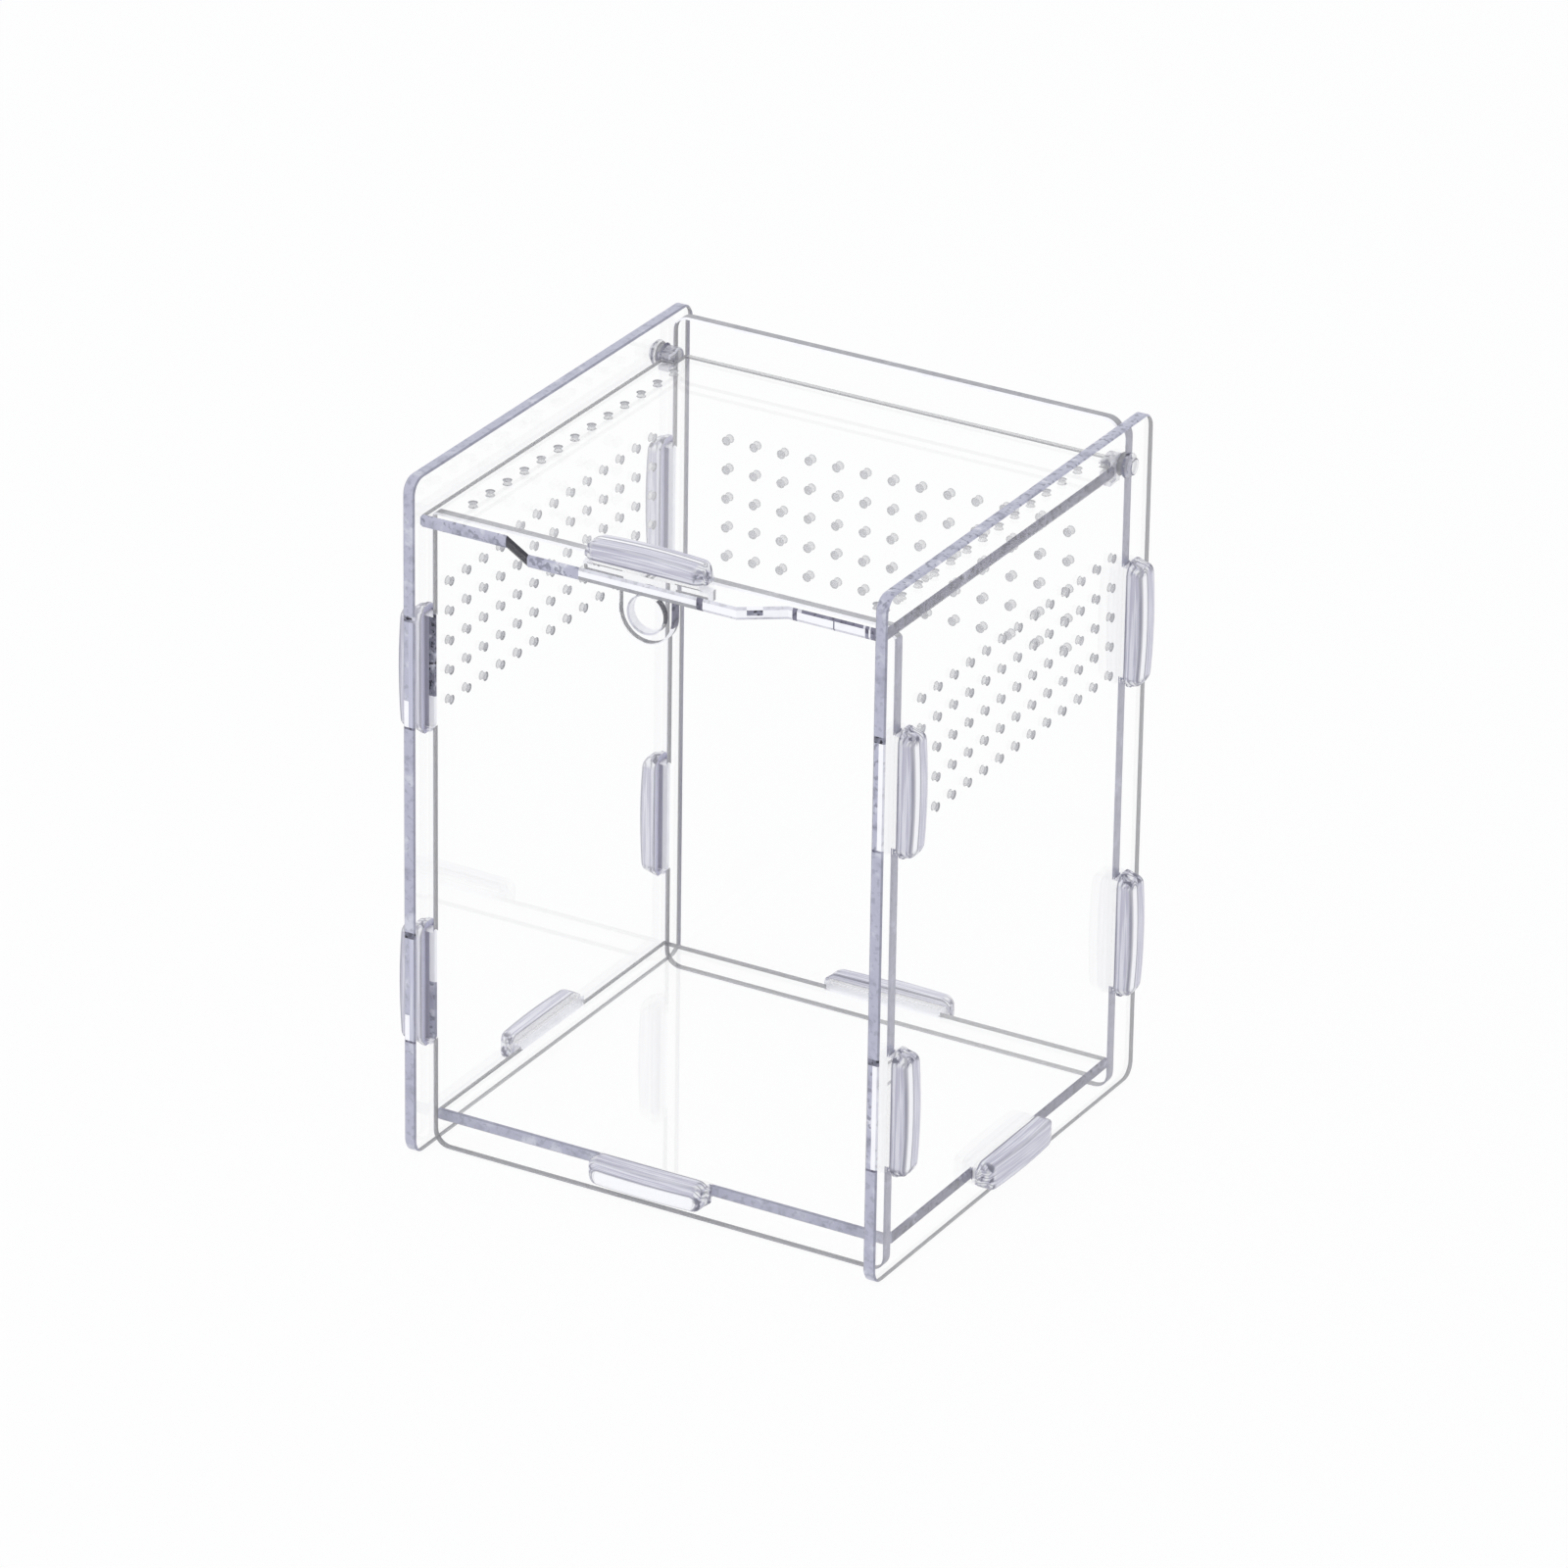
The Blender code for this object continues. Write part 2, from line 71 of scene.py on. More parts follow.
# Studio
# A white sweep under soft light: white to the camera and in the sheets, plain light on the object.
FLOOR_RADIUS = 2.5
FLOOR_DROP = 0.0002
FLOOR_COLOUR = (0.94, 0.94, 0.95, 1.0)
FLOOR_ROUGHNESS = 0.9
FLOOR_GLOW = 0.94
FULL_WHITE = (1.0, 1.0, 1.0, 1.0)
FULL_BLACK = (0.0, 0.0, 0.0, 1.0)
SKY_COLOUR = (0.95, 0.96, 1.0, 1.0)
SKY_LIGHT = 0.84
LAMP_POWER = 2.2
LAMP_SIZE = 0.9
LAMP_PLACE = Vector((-0.7, -0.8, 1.1))
LAMP_AIM = Vector((0.0, 0.0, 0.07))


def set_inputs(node, values):
    """Set a node's inputs to plain values, given by name."""
    for name, value in values.items():
        node.inputs[name].default_value = value


def math_node(tree, operation, first, second=None, third=None):
    """Add a Math node fed by sockets or numbers, and return its output."""
    node = tree.nodes.new("ShaderNodeMath")
    node.operation = operation
    for place, value in enumerate((first, second, third)):
        if value is None:
            continue
        if isinstance(value, (int, float)):
            node.inputs[place].default_value = value
        else:
            tree.links.new(value, node.inputs[place])
    return node.outputs[0]


def mix_shaders(tree, share, first, second):
    """Mix two shaders by a socket, and return the result."""
    node = tree.nodes.new("ShaderNodeMixShader")
    for place, socket in enumerate((share, first, second)):
        tree.links.new(socket, node.inputs[place])
    return node.outputs[0]


def seen_directly(tree):
    """Return a socket that is 1 for rays from the camera, a gloss or a clear sheet."""
    rays = tree.nodes.new("ShaderNodeLightPath").outputs
    seen = math_node(tree, "MAXIMUM", rays["Is Camera Ray"], rays["Is Glossy Ray"])
    return math_node(tree, "MAXIMUM", seen, rays["Is Transmission Ray"])


def new_material(name):
    """Start a node material and return it with its tree and its Principled shader."""
    material = bpy.data.materials.new(name)
    material.use_nodes = True
    return material, material.node_tree, material.node_tree.nodes["Principled BSDF"]


world = bpy.data.worlds.new("studio")
bpy.context.scene.world = world
world.use_nodes = True
sky = world.node_tree
sky.nodes.clear()
backgrounds = []
for colour, strength in ((SKY_COLOUR, SKY_LIGHT), (FULL_WHITE, 1.0)):
    background = sky.nodes.new("ShaderNodeBackground")
    set_inputs(background, {"Color": colour, "Strength": strength})
    backgrounds.append(background.outputs[0])
sky_out = sky.nodes.new("ShaderNodeOutputWorld")
sky.links.new(mix_shaders(sky, seen_directly(sky), *backgrounds), sky_out.inputs[0])

floor_mesh = bpy.data.meshes.new("studio_floor")
floor_body = bmesh.new()
bmesh.ops.create_circle(floor_body, cap_ends=True, segments=64, radius=FLOOR_RADIUS)
floor_body.to_mesh(floor_mesh)
floor_body.free()
floor = bpy.data.objects.new("studio_floor", floor_mesh)
bpy.context.scene.collection.objects.link(floor)
floor.location = (0.0, 0.0, -FLOOR_DROP)
floor_paint, paint, paint_shader = new_material("studio_floor")
set_inputs(paint_shader, {
    "Base Color": FLOOR_COLOUR, "Roughness": FLOOR_ROUGHNESS, "Specular IOR Level": 0.0})
paint_glow = paint.nodes.new("ShaderNodeEmission")
paint_glow.inputs["Color"].default_value = FULL_WHITE
paint_share = math_node(paint, "MULTIPLY", seen_directly(paint), FLOOR_GLOW)
paint_mix = mix_shaders(paint, paint_share, paint_shader.outputs[0], paint_glow.outputs[0])
paint.links.new(paint_mix, paint.nodes["Material Output"].inputs["Surface"])
floor.data.materials.append(floor_paint)

lamp_data = bpy.data.lights.new("softbox", "AREA")
lamp_data.shape = "DISK"
lamp_data.size = LAMP_SIZE
lamp_data.energy = LAMP_POWER
lamp = bpy.data.objects.new("softbox", lamp_data)
bpy.context.scene.collection.objects.link(lamp)
lamp.location = LAMP_PLACE
lamp.rotation_mode = "QUATERNION"
lamp.rotation_quaternion = (LAMP_PLACE - LAMP_AIM).to_track_quat("Z", "Y")

# Cast acrylic
# Clear cast sheet, 2.7 mm thick, cut by laser: the faces keep their polish and all but vanish. A cut
# edge is a mottled lavender grey from outside, and a plain grey line of painted shade when seen from
# within the sheet.
SHEET = 0.0027
MELT = 0.00035
SHEET_INDEX = 1.49
SHEET_CREASE = 25
HAZE_SCALE = 9.0
HAZE_TONE = (0.997, 0.998, 1.0, 1.0)
PATCH_SCALE = 260.0
SPECK_SCALE = 850.0
SPECK_OFFSET = (0.31, 0.17, 0.05)
SPECK_FADE = (0.53, 0.65)
LIGHT_FADE = (0.54, 0.72)
SHADE_FADE = (0.47, 0.30)
SHADE_SHARE = 0.6
STREAKED = (3.0, 3.0, 0.1)
BUMP_STRENGTH = 0.15
BUMP_DISTANCE = 0.0001
EDGE_ROUGHNESS = 0.3
EDGE_GLOSS = 0.2
# A painted glow, for the light a sheet pipes to its clear edges and to the clips' windows.
PAINTED_PIPED_GLOW = 0.12
EDGE_TONE = (0.57, 0.575, 0.68, 1.0)
EDGE_DARK = (0.28, 0.28, 0.35, 1.0)
EDGE_LIGHT = (0.84, 0.84, 0.90, 1.0)
RIM_TONE = (0.40, 0.40, 0.48, 1.0)
WHITE_TONE = (0.97, 0.97, 0.985, 1.0)
PALE_TONE = (0.80, 0.80, 0.85, 1.0)
WITHIN_SHADE = (0.33, 0.33, 0.345, 1.0)
WITHIN_LAVENDER_SHADE = (0.30, 0.295, 0.36, 1.0)
WITHIN_ALPHA = 0.85
GREY_TONE = (0.45, 0.45, 0.465, 1.0)
DEEP_TONE = (0.25, 0.245, 0.32, 1.0)
DEEP_DARK = (0.07, 0.07, 0.10, 1.0)
STREAK_TONE = (0.63, 0.635, 0.75, 1.0)
VENT_TONE = (0.52, 0.52, 0.53, 1.0)
VENT_LIGHT = (0.79, 0.79, 0.80, 1.0)
VENT_SHADE = (0.58, 0.58, 0.59, 1.0)
NEAR_BLACK = (0.035, 0.035, 0.045, 1.0)
NEAR_BLACK_STREAK = (0.16, 0.16, 0.18, 1.0)


def new_group(name, tree_kind, inputs, outputs):
    """Start a node group with named inputs, as (name, kind, value), and outputs."""
    tree = bpy.data.node_groups.new(name, tree_kind)
    for socket_name, kind, value in inputs:
        socket = tree.interface.new_socket(socket_name, in_out="INPUT", socket_type=f"NodeSocket{kind}")
        if value is not None:
            socket.default_value = value
    for socket_name, kind in outputs:
        tree.interface.new_socket(socket_name, in_out="OUTPUT", socket_type=f"NodeSocket{kind}")
    return tree, tree.nodes.new("NodeGroupInput"), tree.nodes.new("NodeGroupOutput")


def smooth_step(tree, value, low, high):
    """Return a socket that goes smoothly from 0 at low to 1 at high."""
    node = tree.nodes.new("ShaderNodeMapRange")
    node.interpolation_type = "SMOOTHSTEP"
    set_inputs(node, {"From Min": low, "From Max": high})
    tree.links.new(value, node.inputs["Value"])
    return node.outputs["Result"]


def noise(tree, coordinates, scale, detail, stretch=(1.0, 1.0, 1.0), offset=(0.0, 0.0, 0.0)):
    """Return the value of a noise texture read along stretched coordinates."""
    mapping = tree.nodes.new("ShaderNodeMapping")
    set_inputs(mapping, {"Scale": stretch, "Location": offset})
    texture = tree.nodes.new("ShaderNodeTexNoise")
    set_inputs(texture, {"Scale": scale, "Detail": detail})
    tree.links.new(coordinates, mapping.inputs["Vector"])
    tree.links.new(mapping.outputs["Vector"], texture.inputs["Vector"])
    return texture.outputs["Fac"]


def mix_colour(tree, share, first, second):
    """Mix two colours, given as sockets or values, by a socket."""
    node = tree.nodes.new("ShaderNodeMix")
    node.data_type = "RGBA"
    tree.links.new(share, node.inputs["Factor"])
    for socket, value in ((node.inputs[6], first), (node.inputs[7], second)):
        if isinstance(value, tuple):
            socket.default_value = value
        else:
            tree.links.new(value, socket)
    return node.outputs[2]


# The mottle of a cut edge: broad light and dark patches, and a few dark specks.
mottle, mottle_in, mottle_out = new_group(
    "cut_edge_mottle",
    "ShaderNodeTree",
    (
        ("Coordinates", "Vector", None),
        ("Tone", "Color", EDGE_TONE),
        ("Dark", "Color", EDGE_DARK),
        ("Light", "Color", EDGE_LIGHT),
        ("Specks", "Float", 0.6),
        ("Patches", "Float", 0.5),
    ),
    (("Color", "Color"), ("Height", "Float")),
)
place = mottle_in.outputs["Coordinates"]
broad = noise(mottle, place, PATCH_SCALE, 3.0)
fine = noise(mottle, place, SPECK_SCALE, 2.0, offset=SPECK_OFFSET)
colour = mottle_in.outputs["Tone"]
for texture, fade, strength, most, tone in (
    (broad, LIGHT_FADE, "Patches", 1.0, "Light"),
    (broad, SHADE_FADE, "Patches", SHADE_SHARE, "Dark"),
    (fine, SPECK_FADE, "Specks", 1.0, "Dark"),
):
    share = smooth_step(mottle, texture, *fade)
    share = math_node(mottle, "MULTIPLY", share, mottle_in.outputs[strength])
    share = math_node(mottle, "MULTIPLY", share, most)
    colour = mix_colour(mottle, share, colour, mottle_in.outputs[tone])
mottle.links.new(colour, mottle_out.inputs["Color"])
mottle.links.new(fine, mottle_out.inputs["Height"])


def object_coordinates(tree):
    """Return the Object coordinates' socket."""
    return tree.nodes.new("ShaderNodeTexCoord").outputs["Object"]


def clear_face_material():
    """Polished clear sheet, which lets the studio's light through."""
    material, tree, shader = new_material("clear_face")
    haze = noise(tree, object_coordinates(tree), HAZE_SCALE, 1.0)
    tree.links.new(mix_colour(tree, haze, HAZE_TONE, FULL_WHITE), shader.inputs["Base Color"])
    set_inputs(shader, {
        "Roughness": 0.0,
        "IOR": SHEET_INDEX,
        "Specular IOR Level": 0.0,
        "Specular Tint": FULL_BLACK,
        "Transmission Weight": 1.0,
    })
    rays = tree.nodes.new("ShaderNodeLightPath").outputs
    lets_through = math_node(tree, "MAXIMUM", rays["Is Shadow Ray"], rays["Is Diffuse Ray"])
    through = tree.nodes.new("ShaderNodeBsdfTransparent")
    surface = mix_shaders(tree, lets_through, shader.outputs[0], through.outputs[0])
    tree.links.new(surface, tree.nodes["Material Output"].inputs["Surface"])
    return material


def edge_material(
    name, tone=EDGE_TONE, dark=EDGE_DARK, light=EDGE_LIGHT, specks=0.35, patches=0.6,
    outside_alpha=0.97, within_shade=WITHIN_SHADE, within_alpha=WITHIN_ALPHA,
    stretch=(1.0, 1.0, 1.0), glow=0.0,
):
    """A cut edge: mottled where it faces outwards, one tone of painted shade where it is seen from within.

    stretch draws the mottle out along an edge, and glow is painted light that stands in for the light the
    sheet pipes to it.
    """
    material, tree, shader = new_material(name)
    mapping = tree.nodes.new("ShaderNodeMapping")
    mapping.inputs["Scale"].default_value = stretch
    tree.links.new(object_coordinates(tree), mapping.inputs["Vector"])
    tones = tree.nodes.new("ShaderNodeGroup")
    tones.node_tree = mottle
    set_inputs(tones, {
        "Tone": tone, "Dark": dark, "Light": light, "Specks": specks, "Patches": patches})
    tree.links.new(mapping.outputs["Vector"], tones.inputs["Coordinates"])
    within = tree.nodes.new("ShaderNodeNewGeometry").outputs["Backfacing"]
    # Seen from within the sheet, an edge shows one tone of painted shade in place of its mottle.
    tree.links.new(
        mix_colour(tree, within, tones.outputs["Color"], within_shade), shader.inputs["Base Color"])
    bump = tree.nodes.new("ShaderNodeBump")
    set_inputs(bump, {"Strength": BUMP_STRENGTH, "Distance": BUMP_DISTANCE})
    tree.links.new(tones.outputs["Height"], bump.inputs["Height"])
    tree.links.new(bump.outputs["Normal"], shader.inputs["Normal"])
    if glow:
        tree.links.new(tones.outputs["Color"], shader.inputs["Emission Color"])
        shader.inputs["Emission Strength"].default_value = glow
    set_inputs(shader, {
        "Roughness": EDGE_ROUGHNESS, "IOR": SHEET_INDEX, "Specular IOR Level": EDGE_GLOSS})
    alpha = math_node(tree, "MULTIPLY_ADD", within, within_alpha - outside_alpha, outside_alpha)
    tree.links.new(alpha, shader.inputs["Alpha"])
    return material


sheet_materials = (
    clear_face_material(),
    edge_material("lavender_edge"),
    edge_material("lavender_rim", RIM_TONE, light=EDGE_TONE, specks=0.4, patches=0.5),
    edge_material("mottled_edge", specks=0.8, patches=1.0),
    edge_material(
        "streaked_edge", STREAK_TONE, RIM_TONE, WHITE_TONE, 0.2, 0.9, 1.0, stretch=STREAKED),
    edge_material("shaded_edge", within_shade=WITHIN_LAVENDER_SHADE, within_alpha=0.95),
    edge_material("pale_edge", within_alpha=0.5),
    # clear_edge and slot_edge are white with a glow: painted light for the studio seen through the sheet.
    edge_material(
        "clear_edge", WHITE_TONE, PALE_TONE, FULL_WHITE, 0.1, 0.5, 1.0, within_alpha=0.1,
        glow=PAINTED_PIPED_GLOW),
    edge_material("grey_line", GREY_TONE, EDGE_DARK, PALE_TONE, 0.3, 0.3, 1.0),
    edge_material(
        "faint_line", PALE_TONE, GREY_TONE, WHITE_TONE, 0.4, 0.6, 1.0, within_alpha=0.4),
    # deep_edge is dark: painted shade on the edges that face right and on the tab ring's upper right, and the
    # dark marks at the joints and along the lid's front.
    edge_material("deep_edge", DEEP_TONE, DEEP_DARK, EDGE_TONE, 0.7, 0.7),
    edge_material(
        "blotched_edge", EDGE_DARK, NEAR_BLACK, EDGE_LIGHT, 1.0, 1.0, 1.0,
        within_shade=DEEP_DARK, within_alpha=0.9, stretch=(1.5, 1.5, 1.5)),
    # black_edge is near-black painted shade, for the slope at the lid's front.
    edge_material("black_edge", NEAR_BLACK, NEAR_BLACK, NEAR_BLACK_STREAK, 0.3, 1.0, 1.0),
    edge_material(
        "slot_edge", WHITE_TONE, PALE_TONE, FULL_WHITE, 0.1, 0.4, 1.0, within_alpha=0.1,
        glow=PAINTED_PIPED_GLOW),
    # vent_wall glows a little: painted light that lifts the shade inside each hole.
    edge_material(
        "vent_wall", VENT_LIGHT, VENT_SHADE, VENT_LIGHT, 0.3, 0.8, 1.0,
        within_shade=VENT_TONE, within_alpha=0.62, glow=0.10),
    edge_material(
        "vent_rim", VENT_TONE, VENT_SHADE, VENT_LIGHT, 0.3, 0.9, 0.9,
        within_shade=VENT_TONE, within_alpha=0.7),
)
material_places = {material.name: index for index, material in enumerate(sheet_materials)}

# What an edge shows, across the sheet's thickness: rim, half band, half band, rim.
EDGE_KINDS = {
    "streaked": ("lavender_rim", "lavender_edge", "streaked_edge", "lavender_rim"),
    "half_streaked": ("faint_line", "clear_edge", "streaked_edge", "lavender_rim"),
    "clear": ("faint_line", "clear_edge", "clear_edge", "faint_line"),
    "line_low": ("grey_line", "grey_line", "clear_edge", "faint_line"),
    "line_high": ("clear_edge", "clear_edge", "grey_line", "grey_line"),
    "dark_top": ("faint_line", "clear_edge", "clear_edge", "deep_edge"),
    "plain_mottled": ("mottled_edge",) * 4,
    "ring": ("faint_line", "clear_edge", "clear_edge", "grey_line"),
    "knuckle": ("faint_line", "lavender_edge", "lavender_edge", "faint_line"),
    "end": ("lavender_rim",) * 4,
    "half_blotched": ("faint_line", "clear_edge", "blotched_edge", "clear_edge"),
    "window": ("grey_line", "mottled_edge", "clear_edge", "faint_line"),
}
for kind in ("lavender", "mottled", "shaded", "pale"):
    EDGE_KINDS[kind] = ("lavender_rim", f"{kind}_edge", f"{kind}_edge", "lavender_rim")
for kind in ("deep", "blotched", "black", "slot"):
    EDGE_KINDS[kind] = (f"{kind}_edge",) * 4


def drawn_in(loop, distance):
    """Move each corner of a loop towards its left-hand side, which is where the sheet is."""
    moved = []
    for index, (u, v) in enumerate(loop):
        before = Vector(loop[index - 1])
        after = Vector(loop[(index + 1) % len(loop)])
        here = Vector((u, v))
        first = (here - before).normalized()
        second = (after - here).normalized()
        first = Vector((-first.y, first.x))
        second = Vector((-second.y, second.x))
        step = (first + second) * (distance / (1.0 + first.dot(second)))
        moved.append((u + step.x, v + step.y))
    return moved


def arc(centre, radius, start, end, steps):
    """Return points on an arc from one angle to the other, in degrees."""
    points = []
    for step in range(steps + 1):
        angle = math.radians(start + (end - start) * step / steps)
        points.append((centre[0] + radius * math.cos(angle), centre[1] + radius * math.sin(angle)))
    return points


def slot_loop(centre, length, width, split=0.0):
    """Return a slot's loop, clockwise; split adds a corner that far up its right-hand side."""
    u, v = centre
    return [
        (u - length / 2, v - width / 2),
        (u - length / 2, v + width / 2),
        (u + length / 2, v + width / 2),
        (u + length / 2, v + split),
        (u + length / 2, v - width / 2),
    ]


def bore_loop(centre, radius, sides):
    """Return a round hole's loop, clockwise."""
    return arc(centre, radius, 360, 0, sides)[:-1]


def fill_between(body, rings):
    """Fill the flat face between closed rings of vertices, and return what was made."""
    edges = []
    for ring in rings:
        for first, second in zip(ring, ring[1:] + ring[:1]):
            edges.append(body.edges.get((first, second)))
    return bmesh.ops.triangle_fill(body, edges=edges, use_beauty=True)["geom"]


def add_band(body, lower, upper, material_index):
    """Join two closed rings of vertices by a band of faces."""
    for index in range(len(lower)):
        after = (index + 1) % len(lower)
        face = body.faces.new((lower[index], lower[after], upper[after], upper[index]))
        face.material_index = material_index


def finished_piece(name, body, materials, crease):
    """Turn a closed body's faces outwards and link it, smooth but for edges sharper than crease."""
    bmesh.ops.recalc_face_normals(body, faces=body.faces)
    if body.calc_volume(signed=True) < 0:
        bmesh.ops.reverse_faces(body, faces=body.faces)
    mesh = bpy.data.meshes.new(name)
    body.to_mesh(mesh)
    body.free()
    mesh.shade_smooth()
    mesh.set_sharp_from_angle(angle=math.radians(crease))
    piece = bpy.data.objects.new(name, mesh)
    bpy.context.scene.collection.objects.link(piece)
    for material in materials:
        mesh.materials.append(material)
    return piece


def cut_sheet(
    name, outline, cutouts, turned, kind_of_edge, thickness=SHEET,
    materials=sheet_materials, rim=MELT, middle_level=0.0,
):
    """Fill an outline round its cut-outs, give it its thickness and melt every rim.

    turned places a local (u, v, w) in the model, with w through the sheet, and kind_of_edge
    names what an edge shows from its middle and its outward direction. rim is how deep a
    melted rim goes, and middle_level is where the two bands between the rims meet.
    """
    body = bmesh.new()
    half = thickness / 2
    levels = (
        (-half, MELT), (rim - half, 0.0), (middle_level, 0.0), (half - rim, 0.0), (half, MELT))
    rims = []
    for loop in [outline] + cutouts:
        rings = []
        for w, inset in levels:
            rings.append([body.verts.new((u, v, w)) for u, v in drawn_in(loop, inset)])
        for index in range(len(loop)):
            after = (index + 1) % len(loop)
            start, end = Vector(loop[index]), Vector(loop[after])
            outward = Vector((end.y - start.y, start.x - end.x)).normalized()
            kinds = EDGE_KINDS[kind_of_edge((start + end) / 2, outward)]
            for level, material_name in enumerate(kinds):
                lower, upper = rings[level], rings[level + 1]
                face = body.faces.new((lower[index], lower[after], upper[after], upper[index]))
                face.material_index = material_places[material_name]
        rims.append((rings[0], rings[-1]))
    for face_rims in zip(*rims):
        fill_between(body, face_rims)
    for vertex in body.verts:
        vertex.co = turned(*vertex.co)
    return finished_piece(name, body, materials, SHEET_CREASE)


# Vents
# Round holes drilled by the same laser in a square grid, each with a melted rim at both faces.
VENT_RADIUS = 0.00075
VENT_PITCH = 0.0065
VENT_SIDES = 16
VENT_MELT = 0.00025
OVERCUT = 0.0001
RING_STEP = 2.0
WALL_SLOPE = 0.4
RIM_SLOPE = 0.95

vents, vents_in, vents_out = new_group(
    "vent_drill",
    "GeometryNodeTree",
    (
        ("Sheet", "Geometry", None),
        ("Columns", "Int", 13),
        ("Rows", "Int", 5),
        ("Column Pitch", "Float", VENT_PITCH),
        ("Row Pitch", "Float", VENT_PITCH),
        ("Radius", "Float", VENT_RADIUS),
        ("Sheet Thickness", "Float", SHEET),
        ("Melted Rim", "Float", VENT_MELT),
        ("Sides", "Int", VENT_SIDES),
        ("Centre", "Vector", (0.0, 0.0, 0.0)),
        ("Turn", "Rotation", (0.0, 0.0, 0.0)),
        ("Wall Material", "Material", bpy.data.materials["vent_wall"]),
        ("Rim Material", "Material", bpy.data.materials["vent_rim"]),
    ),
    (("Geometry", "Geometry"),),
)
given = vents_in.outputs
new_node = vents.nodes.new
connect = vents.links.new

# The drill is a spool: a cylinder that flares out at both faces of the sheet. Its four rings start
# RING_STEP apart, so that the outer two can be told from the inner two by their height.
half_sheet = math_node(vents, "MULTIPLY", given["Sheet Thickness"], 0.5)
drill = new_node("GeometryNodeMeshCylinder")
set_inputs(drill, {"Side Segments": 3, "Depth": 3 * RING_STEP})
connect(given["Sides"], drill.inputs["Vertices"])
connect(given["Radius"], drill.inputs["Radius"])
position = new_node("GeometryNodeInputPosition").outputs[0]
apart = new_node("ShaderNodeSeparateXYZ")
connect(position, apart.inputs[0])
height = math_node(vents, "ABSOLUTE", apart.outputs["Z"])
outer = math_node(vents, "GREATER_THAN", height, RING_STEP)
below = math_node(vents, "SUBTRACT", half_sheet, given["Melted Rim"])
above = math_node(vents, "ADD", half_sheet, OVERCUT)
rise = math_node(vents, "SUBTRACT", above, below)
level = math_node(vents, "MULTIPLY_ADD", outer, rise, below)
level = math_node(vents, "MULTIPLY", level, math_node(vents, "SIGN", apart.outputs["Z"]))
flare = math_node(vents, "DIVIDE", rise, given["Radius"])
flare = math_node(vents, "MULTIPLY_ADD", outer, flare, 1.0)
together = new_node("ShaderNodeCombineXYZ")
for axis in ("X", "Y"):
    connect(math_node(vents, "MULTIPLY", apart.outputs[axis], flare), together.inputs[axis])
connect(level, together.inputs["Z"])
shaped = new_node("GeometryNodeSetPosition")
connect(drill.outputs["Mesh"], shaped.inputs["Geometry"])
connect(together.outputs[0], shaped.inputs["Position"])

# One drill at each point of the grid, turned to go through the sheet.
grid = new_node("GeometryNodeMeshGrid")
for axis, count, pitch in (("X", "Columns", "Column Pitch"), ("Y", "Rows", "Row Pitch")):
    connect(given[count], grid.inputs[f"Vertices {axis}"])
    spans = math_node(vents, "SUBTRACT", given[count], 1.0)
    connect(math_node(vents, "MULTIPLY", spans, given[pitch]), grid.inputs[f"Size {axis}"])
placed = new_node("GeometryNodeInstanceOnPoints")
connect(grid.outputs["Mesh"], placed.inputs["Points"])
connect(shaped.outputs["Geometry"], placed.inputs["Instance"])
drills = new_node("GeometryNodeRealizeInstances")
connect(placed.outputs["Instances"], drills.inputs["Geometry"])
in_place = []
for shape in (drills.outputs["Geometry"], grid.outputs["Mesh"]):
    turn = new_node("GeometryNodeTransform")
    connect(shape, turn.inputs["Geometry"])
    connect(given["Turn"], turn.inputs["Rotation"])
    connect(given["Centre"], turn.inputs["Translation"])
    in_place.append(turn.outputs["Geometry"])
drills, centres = in_place
cut = new_node("GeometryNodeMeshBoolean")
cut.operation = "DIFFERENCE"
cut.solver = "EXACT"
connect(given["Sheet"], cut.inputs["Mesh 1"])
connect(drills, cut.inputs["Mesh 2"])
real = new_node("GeometryNodeRealizeInstances")
connect(cut.outputs["Mesh"], real.inputs["Geometry"])

# The drilled faces are those near a hole's middle that aren't parallel to the sheet.
nearest = new_node("GeometryNodeProximity")
nearest.target_element = "POINTS"
connect(centres, nearest.inputs["Geometry"])
reach = math_node(vents, "ADD", given["Radius"], half_sheet)
near = math_node(vents, "LESS_THAN", nearest.outputs["Distance"], reach)
through = new_node("FunctionNodeRotateVector")
through.inputs["Vector"].default_value = (0.0, 0.0, 1.0)
connect(given["Turn"], through.inputs["Rotation"])
facing = new_node("ShaderNodeVectorMath")
facing.operation = "DOT_PRODUCT"
connect(new_node("GeometryNodeInputNormal").outputs[0], facing.inputs[0])
connect(through.outputs[0], facing.inputs[1])
slope = math_node(vents, "ABSOLUTE", facing.outputs["Value"])
for material_name, low, high in (
    ("Wall Material", -1.0, WALL_SLOPE), ("Rim Material", WALL_SLOPE, RIM_SLOPE)
):
    chosen = math_node(vents, "LESS_THAN", slope, high)
    chosen = math_node(vents, "MULTIPLY", chosen, math_node(vents, "GREATER_THAN", slope, low))
    chosen = math_node(vents, "MULTIPLY", chosen, near)
    finish = new_node("GeometryNodeSetMaterial")
    connect(real.outputs["Geometry"], finish.inputs["Geometry"])
    connect(chosen, finish.inputs["Selection"])
    connect(given[material_name], finish.inputs["Material"])
    real = finish
connect(real.outputs["Geometry"], vents_out.inputs["Geometry"])


def drill_vents(sheet, values):
    """Drill a grid of vents through a sheet and keep the result as its plain mesh.

    values sets the group's inputs by name where a sheet differs from their defaults.
    """
    modifier = sheet.modifiers.new("vents", "NODES")
    modifier.node_group = vents
    for item in vents.interface.items_tree:
        if item.in_out == "INPUT" and item.name in values:
            modifier[item.identifier] = values[item.name]
    drilled = bpy.data.meshes.new_from_object(
        sheet.evaluated_get(bpy.context.evaluated_depsgraph_get()))
    sheet.modifiers.remove(modifier)
    sheet.data = drilled
    drilled.name = sheet.name
    drilled.shade_smooth()
    drilled.set_sharp_from_angle(angle=math.radians(SHEET_CREASE))
